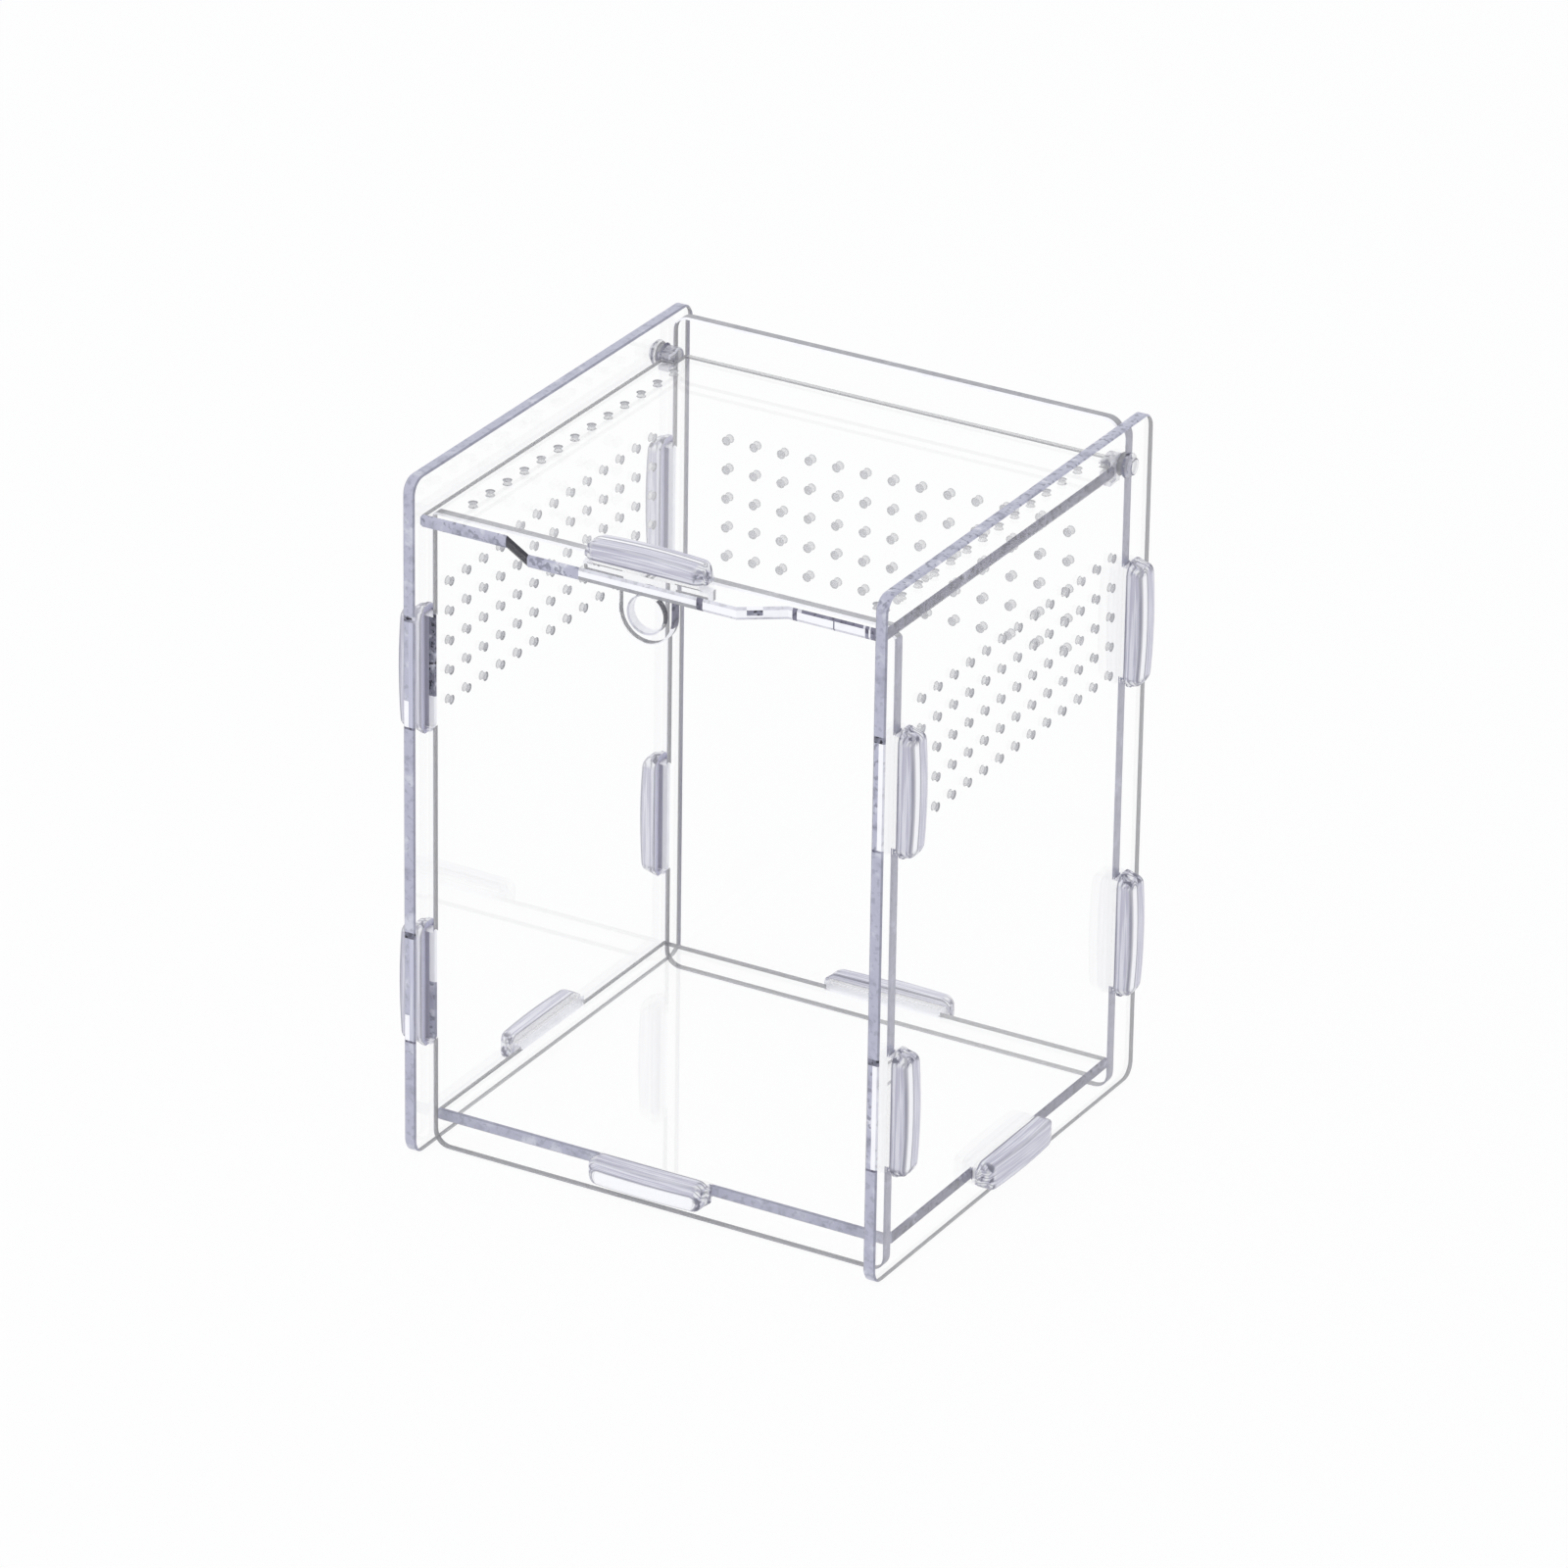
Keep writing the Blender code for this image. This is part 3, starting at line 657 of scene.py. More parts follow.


# Side walls
# The two walls that stand deepest, with vents, slots for the front, back and floor tenons, and a
# bore for the hinge pin. At the joints the front edge is clear or streaked between two dark marks,
# because the slot behind it takes the place of the sheet; the clear band is painted white with a
# glow, and the dark marks are painted shade.
HEIGHT = 0.150
SIDE_X = 0.0536
SIDE_FRONT = -0.0523
SIDE_BACK = 0.0563
SIDE_MIDDLE = 0.0020
CORNER = 0.0035
FRONT_Y = -0.04475
BACK_Y = 0.04875
FLOOR_Z = 0.00655
JOINTS = (0.0362, 0.1062)
TENON = 0.0249
GAP = 0.0003
HINGE = Vector((0.0, 0.045, 0.1421))
PIN_SHANK = 0.0018
VENT_MIDDLE_Z = 0.110
WINDOW_RISE = 0.0019
WINDOW_MARK = 0.0005
TOP_MARK = 0.0014
SLOT_SPLITS = (0.0, -0.0062)


def rounded_corner(u, v, start, radius=CORNER):
    """Return the points of one rounded outline corner, from an angle to a quarter turn on."""
    u_sign = 1 if start in (0, 270) else -1
    v_sign = 1 if start < 180 else -1
    return arc((u - u_sign * radius, v - v_sign * radius), radius, start, start + 90, 8)


def side_wall_edges(side):
    """Return the rule for a side wall's edges, whose front one changes at the joints."""
    def kind_of_edge(middle, outward):
        if middle.x < SIDE_FRONT + MELT:
            for joint in JOINTS:
                above = middle.y - joint - WINDOW_RISE
                if abs(above) > TENON / 2:
                    continue
                if above > TENON / 2 - TOP_MARK:
                    return "blotched"
                if above < WINDOW_MARK - TENON / 2:
                    return "deep"
                if side > 0:
                    return "window"
                return "streaked" if above > -TENON / 4 else "half_streaked"
        inside = SIDE_FRONT + CORNER < middle.x < SIDE_BACK - CORNER
        if inside and CORNER < middle.y < HINGE.z - CORNER:
            if side > 0 or outward.x > -0.9 or middle.x > 0:
                return "slot"
            if middle.y > JOINTS[1]:
                return "blotched"
            return "mottled" if middle.y < JOINTS[0] else "slot"
        if outward.x > 0.9 and side < 0:
            return "shaded"
        return "plain_mottled" if outward.y > 0.3 and side > 0 else "lavender"
    return kind_of_edge


for side_name, side in (("left", -1), ("right", 1)):
    outline = rounded_corner(SIDE_FRONT, 0.0, 180)
    outline += rounded_corner(SIDE_BACK, 0.0, 270)
    outline += rounded_corner(SIDE_BACK, HEIGHT, 0)
    outline += rounded_corner(SIDE_FRONT, HEIGHT, 90)
    for joint in reversed(JOINTS):
        top_end = joint + WINDOW_RISE + TENON / 2
        low_end = joint + WINDOW_RISE - TENON / 2
        patch_end = low_end + TENON / 4
        for z in (top_end, top_end - TOP_MARK, patch_end, low_end + WINDOW_MARK, low_end):
            outline.append((SIDE_FRONT, z))
    holes = [slot_loop((SIDE_MIDDLE, FLOOR_Z), TENON + 2 * GAP, SHEET + 2 * GAP)]
    for wall_y in (FRONT_Y, BACK_Y):
        for joint, split in zip(JOINTS, SLOT_SPLITS):
            holes.append(slot_loop(
                (wall_y, joint), SHEET + 2 * GAP, TENON + 2 * GAP, split))
    holes.append(bore_loop((HINGE.y, HINGE.z), PIN_SHANK + GAP, 24))
    wall = cut_sheet(
        f"{side_name}_wall", outline, holes, lambda u, v, w, x=side * SIDE_X: (x + w, u, v),
        side_wall_edges(side))
    drill_vents(wall, {
        "Centre": (side * SIDE_X, SIDE_MIDDLE, VENT_MIDDLE_Z),
        "Turn": (math.pi / 2, 0.0, math.pi / 2),
    })
    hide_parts(f"{side_name}_panel")
    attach(wall, "box")

# Front and back walls
# They stand between the side walls on four tenons. The front one stops under the lid and is
# plain; the back one is as high as the sides and has vents. Their flame-polished tops look clear
# along the front rim, and grey from there to the back.
WALL_HALF = 0.05195
TENON_END = 0.05765
FRONT_TOP = 0.1394
FRONT_CORNER = 0.0010
TOP_LINE_START = -0.0009


def side_tenon(side, middle):
    """Return the four corners of a tenon on one side, going round counter-clockwise."""
    start, end = middle - side * TENON / 2, middle + side * TENON / 2
    base, tip = side * WALL_HALF, side * TENON_END
    return [(base, start), (tip, start), (tip, end), (base, end)]


def tenoned_outline(top, top_radius):
    """Return the outline of a wall with its four side tenons, counter-clockwise."""
    points = rounded_corner(-WALL_HALF, 0.0, 180)
    points += rounded_corner(WALL_HALF, 0.0, 270)
    for joint in JOINTS:
        points += side_tenon(1, joint)
    points += rounded_corner(WALL_HALF, top, 0, top_radius)
    points += rounded_corner(-WALL_HALF, top, 90, top_radius)
    for joint in reversed(JOINTS):
        points += side_tenon(-1, joint)
    return points


def cross_wall_edges(middle, outward):
    """Return the kind of a front or back wall's edge: tops grey behind a clear front rim."""
    if abs(middle.x) > WALL_HALF + GAP:
        return "slot"
    if abs(middle.x) < TENON and abs(middle.y - FLOOR_Z) < SHEET:
        return "slot"
    if outward.y > 0.5 and middle.y > FRONT_TOP / 2:
        return "line_high"
    # The right ends take the darker rim tone all across: painted shade.
    if outward.x > 0.5 and middle.x > 0:
        return "end"
    return "lavender"


for wall_name, wall_y, top, top_radius in (
    ("front", FRONT_Y, FRONT_TOP, FRONT_CORNER),
    ("back", BACK_Y, HEIGHT, CORNER),
):
    holes = [slot_loop((0.0, FLOOR_Z), TENON + 2 * GAP, SHEET + 2 * GAP)]
    wall = cut_sheet(
        f"{wall_name}_wall", tenoned_outline(top, top_radius), holes,
        lambda u, v, w, y=wall_y: (u, y + w, v), cross_wall_edges, middle_level=TOP_LINE_START)
    if wall_name == "back":
        drill_vents(wall, {
            "Centre": (0.0, wall_y, VENT_MIDDLE_Z), "Turn": (math.pi / 2, 0.0, 0.0)})
    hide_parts(f"{wall_name}_panel")
    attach(wall, "box")

# Raised floor
# A plain sheet a few millimetres off the ground, held by one tenon through each wall.
FLOOR_FRONT = -0.0431
FLOOR_BACK = 0.0471
FLOOR_FRONT_END = -0.0488
FLOOR_BACK_END = 0.0528

half_tenon = TENON / 2


def floor_edges(middle, outward):
    """Return the kind of the floor's edge: tenons clear, the right edge painted dark as shade."""
    if abs(middle.x) > WALL_HALF + GAP or not FLOOR_FRONT - GAP < middle.y < FLOOR_BACK + GAP:
        return "slot"
    if outward.x > 0.5:
        return "deep"
    return "lavender"


outline = []
for way, edge_y, end_y in (
    (1, FLOOR_FRONT, FLOOR_FRONT_END), (-1, FLOOR_BACK, FLOOR_BACK_END)
):
    corner_x, tenon_x = way * WALL_HALF, way * half_tenon
    outline += [(-corner_x, edge_y), (-tenon_x, edge_y), (-tenon_x, end_y)]
    outline += [(tenon_x, end_y), (tenon_x, edge_y), (corner_x, edge_y)]
    outline += side_tenon(way, SIDE_MIDDLE)
raised_floor = cut_sheet(
    "raised_floor", outline, [], lambda u, v, w: (u, v, FLOOR_Z + w), floor_edges)
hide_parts("floor_panel")
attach(raised_floor, "box")

# Lid
# A sheet that drops between the side walls, with a tongue that stands out over the front wall, a
# slot for the pull tab, a row of vents along each side, and notches for the hinge knuckles. Its
# front edge changes along its length: lavender, a near-black slope of painted shade, then a clear
# stretch painted white with a glow, with dark marks.
LID_Z = 0.14105
LID_HALF = 0.0518
LID_FRONT = -0.0507
LID_BACK = 0.0470
TONGUE_FRONT = -0.0563
TONGUE_BASE_HALF = 0.032
TONGUE_FRONT_HALF = 0.0237
NOTCH_X = 0.04865
NOTCH_Y = 0.0426
TAB_Y = -0.0494
LID_VENT_X = 0.0460
LID_VENT_Y = -0.0012

# The front edge's stretches from left to right, each with its right end and its kind.
LID_FRONT_STRETCHES = (
    (-TONGUE_BASE_HALF, "plain_mottled"),
    (-TONGUE_FRONT_HALF, "black"),
    (-0.0120, "plain_mottled"),
    (0.0147, "line_low"),
    (0.0161, "deep"),
    (TONGUE_FRONT_HALF, "clear"),
    (0.0254, "clear"),
    (0.0280, "half_blotched"),
    (TONGUE_BASE_HALF, "clear"),
    (0.0330, "clear"),
    (0.0340, "deep"),
    (0.0350, "clear"),
    (0.0421, "dark_top"),
    (0.0424, "deep"),
    (0.0487, "dark_top"),
    (0.0492, "clear"),
    (0.0500, "deep"),
    (0.0504, "clear"),
    (LID_HALF, "deep"),
)
LID_RIM = 0.0006
LOW_LINE_END = -0.0004


def lid_edges(middle, outward):
    """Return the kind of the lid's edge at a place."""
    if middle.y < LID_FRONT + GAP and outward.y < -0.1:
        for end, kind in LID_FRONT_STRETCHES:
            if middle.x < end:
                return kind
    if abs(middle.x) < TENON and middle.y < LID_BACK - SHEET:
        return "slot"
    # Edges that face right are painted dark: painted shade.
    if outward.x > 0.5:
        return "deep"
    if outward.y > 0.5:
        return "pale"
    return "lavender"


outline = [(-LID_HALF, LID_FRONT)]
for end, _ in LID_FRONT_STRETCHES:
    slope_share = (TONGUE_BASE_HALF - abs(end)) / (TONGUE_BASE_HALF - TONGUE_FRONT_HALF)
    slope_share = min(max(slope_share, 0.0), 1.0)
    outline.append((end, LID_FRONT + slope_share * (TONGUE_FRONT - LID_FRONT)))
outline += [(LID_HALF, NOTCH_Y), (NOTCH_X, NOTCH_Y), (NOTCH_X, LID_BACK)]
outline += [(-NOTCH_X, LID_BACK), (-NOTCH_X, NOTCH_Y), (-LID_HALF, NOTCH_Y)]
holes = [slot_loop((0.0, TAB_Y), TENON + 2 * GAP, SHEET + 2 * GAP)]
lid = cut_sheet(
    "lid_sheet", outline, holes, lambda u, v, w: (u, v, LID_Z + w), lid_edges, rim=LID_RIM,
    middle_level=LOW_LINE_END)
drill_vents(lid, {
    "Columns": 2,
    "Rows": 13,
    "Column Pitch": 2 * LID_VENT_X,
    "Centre": (0.0, LID_VENT_Y, LID_Z),
})
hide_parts("lid_panel")
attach(lid, "lid")

# Pull tab
# A T of the same sheet: its tenon stands up through the tongue, its shoulder bears on the
# tongue's underside and a ring with a finger hole hangs below.
TAB_TOP = 0.1451
TAB_SHOULDER_TOP = 0.1394
TAB_SHOULDER_LOW = 0.1372
TAB_SHOULDER_HALF = 0.0145
TAB_RING = (0.0, 0.1330)
TAB_RING_RADIUS = 0.0063
TAB_HOLE_RADIUS = 0.0039


def tab_edges(middle, outward):
    """Return the kind of the tab's edge: grey lines, but painted shade on the ring's upper right."""
    right = middle.x > 0.6 * TAB_HOLE_RADIUS and middle.y < TAB_SHOULDER_LOW
    if right and middle.y > TAB_RING[1] - 0.2 * TAB_RING_RADIUS:
        return "blotched" if outward.x < 0 else "deep"
    if middle.y > TAB_SHOULDER_TOP - GAP:
        return "slot"
    from_centre = math.hypot(middle.x, middle.y - TAB_RING[1])
    return "line_high" if from_centre > TAB_HOLE_RADIUS + MELT else "ring"


right_half = [(TAB_RING_RADIUS, TAB_SHOULDER_LOW), (TAB_SHOULDER_HALF, TAB_SHOULDER_LOW)]
right_half += [(TAB_SHOULDER_HALF, TAB_SHOULDER_TOP), (half_tenon, TAB_SHOULDER_TOP)]
right_half.append((half_tenon, TAB_TOP))
outline = arc(TAB_RING, TAB_RING_RADIUS, 180, 360, 24) + right_half
outline += [(-u, v) for u, v in reversed(right_half)]
holes = [bore_loop(TAB_RING, TAB_HOLE_RADIUS, 32)]
tab = cut_sheet("tab_sheet", outline, holes, lambda u, v, w: (u, TAB_Y + w, v), tab_edges)
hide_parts("pull_tab")
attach(tab, "lid")

# Clips
# Small moulded caps pushed on the tenons from outside: a straight bar with rounded ends, streaky
# lavender sides and a clear window in its outer face, outlined in grey; the window is painted light,
# white with a glow, on the clip's lit side.
CLIP_HALF_LENGTH = 0.0135
CLIP_HALF_WIDTH = 0.0029
CLIP_HEIGHT = 0.0039
CLIP_END_RADIUS = 0.0024
CLIP_CROWN = 0.0006
CLIP_ROUNDING = 0.0007
CAVITY_HALF = (0.01275, 0.00165)
CAVITY_HEIGHT = 0.0027
LIP_LENGTH = 0.0004
LIP_HALF_WIDTH = 0.0017
CLIP_TONE = (0.62, 0.61, 0.71, 1.0)
CLIP_DARK = (0.22, 0.22, 0.27, 1.0)
CLIP_LIGHT = (0.88, 0.88, 0.93, 1.0)
CAVITY_TONE = (0.66, 0.65, 0.82, 1.0)
FACE_END = 0.45
SIDE_START = 0.55
MOULDED_CREASE = 40
CLIP_ROUGHNESS = 0.25
CLIP_ALPHA = 0.96
CLIP_WITHIN_CHANGE = -0.65
CLIP_PATCH_SCALE = 620.0
STREAK_STRETCH = (0.8, 15.0, 1.0)

# Where the marks on a clip fade in, from nothing to full; WINDOW, RING and ARC are in metres.
WINDOW_REACH = 0.0122
WINDOW_FADE = (0.00005, -0.00015)
RING_FADE = (0.00034, 0.00012)
ARC_SPACING = 0.00055
ARC_FADE = (0.00028, 0.00048)
END_FADE = (0.80, 0.92)
BORDER_FADE = (0.05, 0.02)
FOOT_FADE = (0.93, 0.97)
STREAK_FADE = (0.42, 0.60)
BRIGHT_FADE = (0.50, 0.42)
SPECKLE_FADE = (0.53, 0.61)
FOOT_STRENGTH = 0.7
RING_STRENGTH = 0.6


def clip_material(name, window_centre, window_radius, border):
    """Moulded clear plastic read from the clip's own map: u along it, v round its section.

    The window is a rounded slot in the outer face, painted white with a glow as painted light,
    and border is the strength of the line along that face.
    """
    window_half = WINDOW_REACH - window_radius
    material, tree, shader = new_material(name)
    uv = tree.nodes.new("ShaderNodeUVMap")
    uv.uv_map = "clip"
    apart = tree.nodes.new("ShaderNodeSeparateXYZ")
    tree.links.new(uv.outputs[0], apart.inputs[0])
    along = math_node(tree, "ABSOLUTE", apart.outputs["X"])
    around = math_node(tree, "ABSOLUTE", apart.outputs["Y"])

    # How far a place lies outside the window, in metres: the window is a rounded slot.
    past = math_node(tree, "MULTIPLY", along, CLIP_HALF_LENGTH)
    past = math_node(tree, "MAXIMUM", math_node(tree, "SUBTRACT", past, window_half), 0.0)
    off = math_node(tree, "SUBTRACT", apart.outputs["Y"], window_centre)
    off = math_node(tree, "MULTIPLY", off, (CLIP_HALF_WIDTH - CLIP_ROUNDING) / FACE_END)
    squares = math_node(tree, "MULTIPLY_ADD", off, off, math_node(tree, "POWER", past, 2.0))
    outside = math_node(tree, "SUBTRACT", math_node(tree, "SQRT", squares), window_radius)
    window = smooth_step(tree, outside, *WINDOW_FADE)
    ring = smooth_step(tree, math_node(tree, "ABSOLUTE", outside), *RING_FADE)
    end = smooth_step(tree, along, *END_FADE)
    arcs = math_node(tree, "PINGPONG", outside, ARC_SPACING)
    arcs = math_node(tree, "MULTIPLY", smooth_step(tree, arcs, *ARC_FADE), end)

    # Streaks along the sides, a line at the face's border and a line at the foot.
    streaks = noise(tree, uv.outputs[0], 1.0, 2.0, stretch=STREAK_STRETCH)
    patches = noise(tree, object_coordinates(tree), CLIP_PATCH_SCALE, 2.0)
    tones = mix_colour(tree, smooth_step(tree, streaks, *STREAK_FADE), CLIP_TONE, CLIP_LIGHT)
    # The window is painted white: painted light.
    tones = mix_colour(tree, window, tones, FULL_WHITE)
    side_border = math_node(tree, "SUBTRACT", around, (FACE_END + SIDE_START) / 2)
    side_border = smooth_step(tree, math_node(tree, "ABSOLUTE", side_border), *BORDER_FADE)
    foot = smooth_step(tree, around, *FOOT_FADE)
    lines = math_node(tree, "MULTIPLY", side_border, border)
    for line, strength in ((foot, FOOT_STRENGTH), (ring, RING_STRENGTH), (arcs, RING_STRENGTH)):
        lines = math_node(tree, "MAXIMUM", lines, math_node(tree, "MULTIPLY", line, strength))
    bright = math_node(tree, "MULTIPLY", end, smooth_step(tree, patches, *BRIGHT_FADE))
    tones = mix_colour(tree, bright, tones, FULL_WHITE)
    speckle = math_node(tree, "MULTIPLY", end, smooth_step(tree, patches, *SPECKLE_FADE))
    lines = math_node(tree, "MAXIMUM", lines, speckle)
    tones = mix_colour(tree, lines, tones, CLIP_DARK)
    tree.links.new(tones, shader.inputs["Base Color"])
    # The window glows: painted light.
    glow = mix_colour(tree, window, FULL_BLACK, FULL_WHITE)
    tree.links.new(glow, shader.inputs["Emission Color"])
    set_inputs(shader, {
        "Emission Strength": PAINTED_PIPED_GLOW,
        "Roughness": CLIP_ROUGHNESS,
        "IOR": SHEET_INDEX,
        "Specular IOR Level": EDGE_GLOSS,
    })
    within = tree.nodes.new("ShaderNodeNewGeometry").outputs["Backfacing"]
    solid = math_node(tree, "MULTIPLY_ADD", within, CLIP_WITHIN_CHANGE, CLIP_ALPHA)
    tree.links.new(solid, shader.inputs["Alpha"])
    return material


wide_window_clip = clip_material("wide_window_clip", -0.20, 0.0016, 0.3)
slim_window_clip = clip_material("slim_window_clip", -0.30, 0.0010, 0.55)
lid_window_clip = clip_material("lid_window_clip", -0.12, 0.0005, 0.35)
streaked_clip = clip_material("streaked_clip", 0.0, -0.001, 0.35)
pale_cavity = edge_material(
    "pale_cavity", WHITE_TONE, CLIP_TONE, FULL_WHITE, 0.1, 0.6, 0.22, within_alpha=0.08)
streaked_cavity = edge_material(
    "streaked_cavity", CAVITY_TONE, EDGE_TONE, EDGE_LIGHT, 0.2, 0.9, 1.0, within_alpha=0.3,
    stretch=STREAKED)


def clip_stations():
    """Return (x, half width, height) of the clip's cross-sections, from its middle to one end."""
    straight = CLIP_HALF_LENGTH - CLIP_END_RADIUS
    stations = []
    for x in (0.0, straight * 0.35, straight * 0.7, straight):
        stations.append((x, CLIP_HALF_WIDTH, CLIP_HEIGHT - CLIP_CROWN * (x / CLIP_HALF_LENGTH) ** 2))
    for degrees in (15, 30, 44, 56):
        angle = math.radians(degrees)
        x = straight + CLIP_END_RADIUS * math.sin(angle)
        rounding = 1 - math.cos(angle)
        width = CLIP_HALF_WIDTH - CLIP_END_RADIUS * rounding
        height = CLIP_HEIGHT - CLIP_CROWN * ((x / CLIP_HALF_LENGTH) ** 2 + 2.0 * rounding)
        stations.append((x, width, height))
    lip_end = CLIP_HALF_LENGTH + LIP_LENGTH
    stations.append((CLIP_HALF_LENGTH - CLIP_END_RADIUS * 0.06, LIP_HALF_WIDTH, CLIP_HEIGHT * 0.5))
    stations.append((CLIP_HALF_LENGTH, LIP_HALF_WIDTH, CLIP_HEIGHT * 0.33))
    stations.append((lip_end, LIP_HALF_WIDTH * 0.8, CLIP_HEIGHT * 0.25))
    return stations


def clip_section(width, height):
    """Return (y, z, v) round one cross-section, from foot to foot; v is its place on the map."""
    rounding = min(CLIP_ROUNDING, height * 0.3)
    side = [(width, 0.0, 1.0), (width, (height - rounding) * 0.5, 0.78)]
    for step in range(5):
        angle = math.radians(90 * step / 4)
        y = width - rounding + rounding * math.cos(angle)
        z = height - rounding + rounding * math.sin(angle)
        side.append((y, z, SIDE_START + (FACE_END - SIDE_START) * step / 4))
    side.append(((width - rounding) * 0.5, height, FACE_END * 0.5))
    return side + [(0.0, height, 0.0)] + [(-y, z, -v) for y, z, v in reversed(side)]


def clip_piece(name, seat, length_axis, outward, lit_side, plastic, cavity):
    """Make one clip in place, with its map: lit_side turns the window to one long side."""
    half = clip_stations()
    stations = [(-x, width, height) for x, width, height in reversed(half[1:])] + half
    body = bmesh.new()
    uv_layer = body.loops.layers.uv.new("clip")
    uvs = {}
    sections = []
    for x, width, height in stations:
        section = []
        for y, z, around in clip_section(width, height):
            vertex = body.verts.new((x, y, z))
            uvs[vertex] = (x / CLIP_HALF_LENGTH, around * lit_side)
            section.append(vertex)
        sections.append(section)
    for first, second in zip(sections, sections[1:]):
        for index in range(len(first) - 1):
            body.faces.new((first[index], second[index], second[index + 1], first[index + 1]))
    body.faces.new(sections[0])
    body.faces.new(sections[-1])
    cavity_u, cavity_v = CAVITY_HALF
    corners = ((-1, -1), (1, -1), (1, 1), (-1, 1))
    mouth = [body.verts.new((u * cavity_u, v * cavity_v, 0.0)) for u, v in corners]
    roof = [body.verts.new((vertex.co.x, vertex.co.y, CAVITY_HEIGHT)) for vertex in mouth]
    body.faces.new(roof).material_index = 1
    add_band(body, mouth, roof, 1)
    rim = [section[0] for section in sections] + [section[-1] for section in reversed(sections)]
    base = fill_between(body, (mouth, rim))
    for face in body.faces:
        for corner_loop in face.loops:
            corner_loop[uv_layer].uv = uvs.get(corner_loop.vert, (0.5, 0.8))
    for face in base:
        if not isinstance(face, bmesh.types.BMFace):
            continue
        # Where the cavity is pale, the base's half on the window's side takes it and the other half keeps the
        # clip's lavender: light and shade painted by side.
        if cavity == streaked_cavity or face.calc_center_median().y * lit_side < 0:
            face.material_index = 1
    z_axis, x_axis = Vector(outward), Vector(length_axis)
    turn_matrix = Matrix((x_axis, z_axis.cross(x_axis), z_axis)).transposed()
    place_matrix = Matrix.Translation(Vector(seat) + GAP * z_axis) @ turn_matrix.to_4x4()
    bmesh.ops.transform(body, matrix=place_matrix, verts=body.verts)
    return finished_piece(name, body, (plastic, cavity), MOULDED_CREASE)


OUTER_X = 0.05495
ALONG_X, ALONG_Y, ALONG_Z = (1, 0, 0), (0, 1, 0), (0, 0, 1)
front_seat = (0.0, FRONT_Y - SHEET / 2, FLOOR_Z)
back_seat = (0.0, BACK_Y + SHEET / 2, FLOOR_Z)
left_seat = (-OUTER_X, SIDE_MIDDLE, FLOOR_Z)
right_seat = (OUTER_X, SIDE_MIDDLE, FLOOR_Z)
lid_seat = (0.0, TAB_Y, LID_Z + SHEET / 2)
clip_places = [
    ("front_floor_clip", front_seat, ALONG_X, (0, -1, 0), 1, wide_window_clip, "box"),
    ("back_floor_clip", back_seat, ALONG_X, (0, 1, 0), -1, wide_window_clip, "box"),
    ("left_floor_clip", left_seat, ALONG_Y, (-1, 0, 0), 1, wide_window_clip, "box"),
    ("right_floor_clip", right_seat, ALONG_Y, (1, 0, 0), 1, streaked_clip, "box"),
    ("lid_clip", lid_seat, ALONG_X, (0, 0, 1), -1, lid_window_clip, "lid"),
]
for side_name, side in (("left", -1), ("right", 1)):
    for wall_name, wall_y in (("front", FRONT_Y), ("back", BACK_Y)):
        for level_name, joint in zip(("lower", "upper"), JOINTS):
            node = f"{side_name}_{wall_name}_{level_name}_clip"
            seat = (side * OUTER_X, wall_y, joint)
            clip_places.append((node, seat, ALONG_Z, (side, 0, 0), -side, slim_window_clip, "box"))
for node, seat, length_axis, outward, lit_side, plastic, body_name in clip_places:
    cavity = streaked_cavity if length_axis == ALONG_Z else pale_cavity
    piece = clip_piece(f"{node}_cap", seat, length_axis, outward, lit_side, plastic, cavity)
    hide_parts(node)
    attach(piece, body_name)

# Hinge
# A stepped pin with a round flange and stud goes through each side wall into a small smoky knuckle
# that grips the lid's back corner. The rims show as dark rings.
PIN_TIP = 0.0012
FLANGE_RADIUS = 0.0027
STUD_RADIUS = 0.0018
FLANGE_TOP = 0.0011
STUD_TOP = 0.0020
KNUCKLE_WIDTH = 0.0030
KNUCKLE_RADIUS = 0.0021
KNUCKLE_BORE = 0.0015
JAW_REACH = 0.0038
JAW_THICKNESS = 0.0011
AXIS_DEPTH = 0.0003
PIN_SIDES = 32

smoky_dark = edge_material(
    "smoky_dark", EDGE_DARK, NEAR_BLACK, WHITE_TONE, 0.8, 1.0, 0.75, within_alpha=0.3)
smoky_clear = edge_material(
    "smoky_clear", WHITE_TONE, EDGE_TONE, FULL_WHITE, 0.3, 0.8, 0.3, within_alpha=0.08)
smoky_grey = edge_material(
    "smoky_grey", PALE_TONE, EDGE_DARK, FULL_WHITE, 1.0, 1.0, 0.6, within_alpha=0.15)

# Each ring of the pin: radius, height over the side wall's face, material of the band after it.
PIN_PROFILE = (
    (PIN_TIP, -SHEET - KNUCKLE_WIDTH, 1),
    (PIN_TIP, -SHEET, 2),
    (PIN_SHANK, -SHEET, 1),
    (PIN_SHANK, GAP, 1),
    (FLANGE_RADIUS, GAP, 0),
    (FLANGE_RADIUS, FLANGE_TOP - GAP / 2, 1),
    (FLANGE_RADIUS - GAP, FLANGE_TOP, 1),
    (STUD_RADIUS, FLANGE_TOP, 2),
    (STUD_RADIUS, STUD_TOP - GAP / 2, 0),
    (STUD_RADIUS - GAP, STUD_TOP, 1),
    (GAP, STUD_TOP, 0),
)


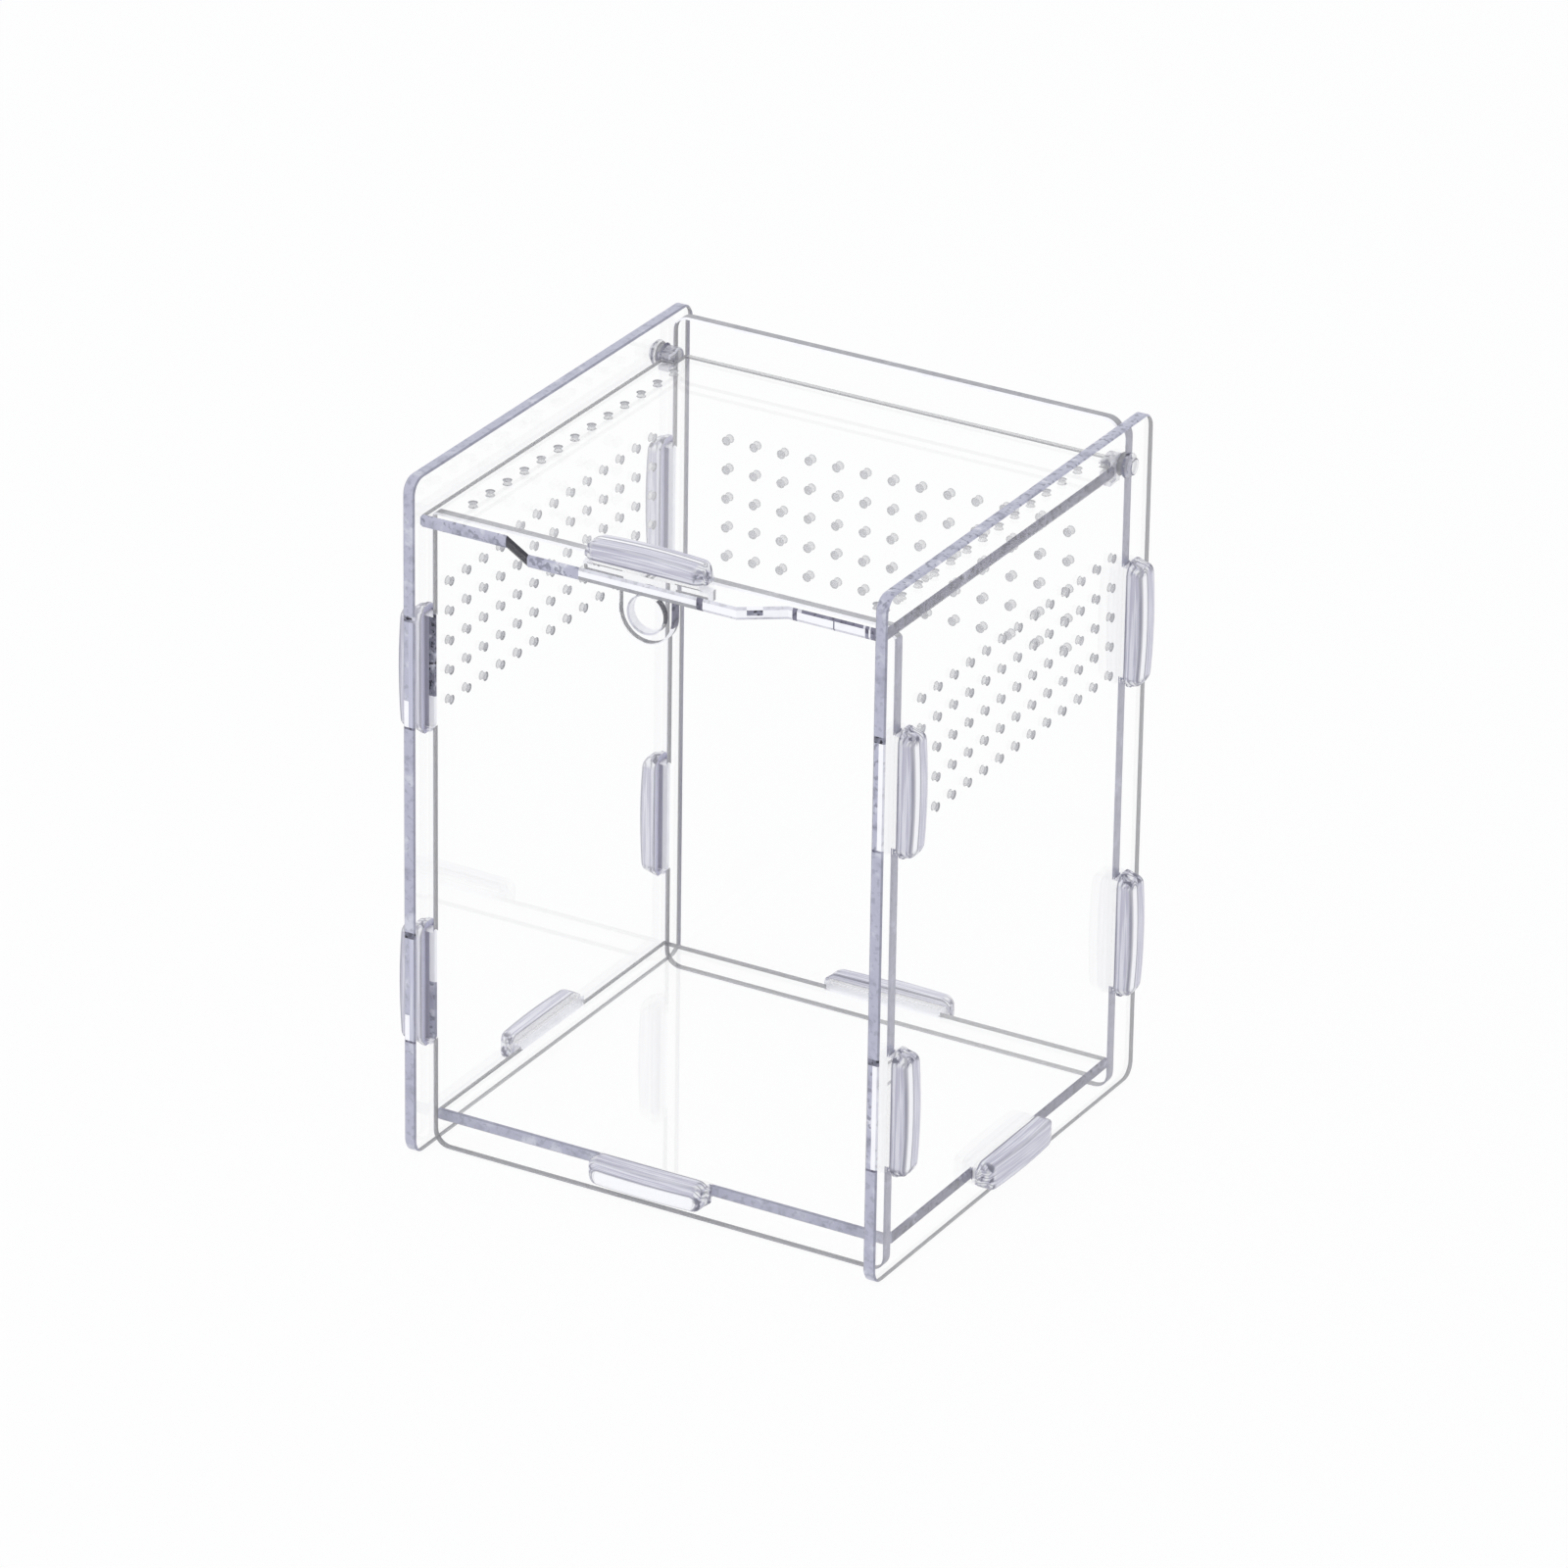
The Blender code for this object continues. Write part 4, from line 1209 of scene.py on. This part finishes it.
def hinge_pin(name, side):
    """Turn one pin about the hinge axis, on its side of the box."""
    body = bmesh.new()
    rings = []
    for radius, height, _ in PIN_PROFILE:
        circle = arc((HINGE.y, HINGE.z), radius, 0, 360, PIN_SIDES)[:-1]
        rings.append([body.verts.new((side * (OUTER_X + height), y, z)) for y, z in circle])
    for lower, upper, (_, _, material_index) in zip(rings, rings[1:], PIN_PROFILE):
        add_band(body, lower, upper, material_index)
    body.faces.new(rings[0]).material_index = 1
    body.faces.new(rings[-1]).material_index = 1
    return finished_piece(name, body, (smoky_dark, smoky_clear, smoky_grey), MOULDED_CREASE)


def knuckle_outline():
    """Return the knuckle's side view about the hinge axis, with the jaws towards the front."""
    upper_low = AXIS_DEPTH + GAP
    upper_high = upper_low + JAW_THICKNESS
    lower_high = AXIS_DEPTH - SHEET - GAP
    lower_low = lower_high - JAW_THICKNESS
    meeting = math.degrees(math.asin(upper_high / KNUCKLE_RADIUS))
    points = [(-JAW_REACH, upper_high), (-JAW_REACH, upper_low), (-KNUCKLE_RADIUS, upper_low)]
    points += [(-KNUCKLE_RADIUS, lower_high), (-JAW_REACH, lower_high), (-JAW_REACH, lower_low)]
    points.append((0.0, lower_low))
    points += arc((0.0, 0.0), KNUCKLE_RADIUS, -90, 180 - meeting, 20)
    return [(HINGE.y + u, HINGE.z + v) for u, v in points]


# The knuckle is cut like a sheet, with smoky faces and bands in place of the clear and lavender.
for side_name, side in (("left", -1), ("right", 1)):
    pin = hinge_pin(f"{side_name}_pin", side)
    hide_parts(f"{side_name}_hinge_pin")
    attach(pin, "lid")
    knuckle_x = side * (WALL_HALF - KNUCKLE_WIDTH / 2)
    knuckle = cut_sheet(
        f"{side_name}_knuckle", knuckle_outline(),
        [bore_loop((HINGE.y, HINGE.z), KNUCKLE_BORE, 24)],
        lambda u, v, w, x=knuckle_x: (x + w, u, v),
        lambda middle, outward: "knuckle", KNUCKLE_WIDTH,
        (smoky_clear, smoky_grey, *sheet_materials[2:]))
    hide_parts(f"{side_name}_hinge_knuckle")
    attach(knuckle, "lid")
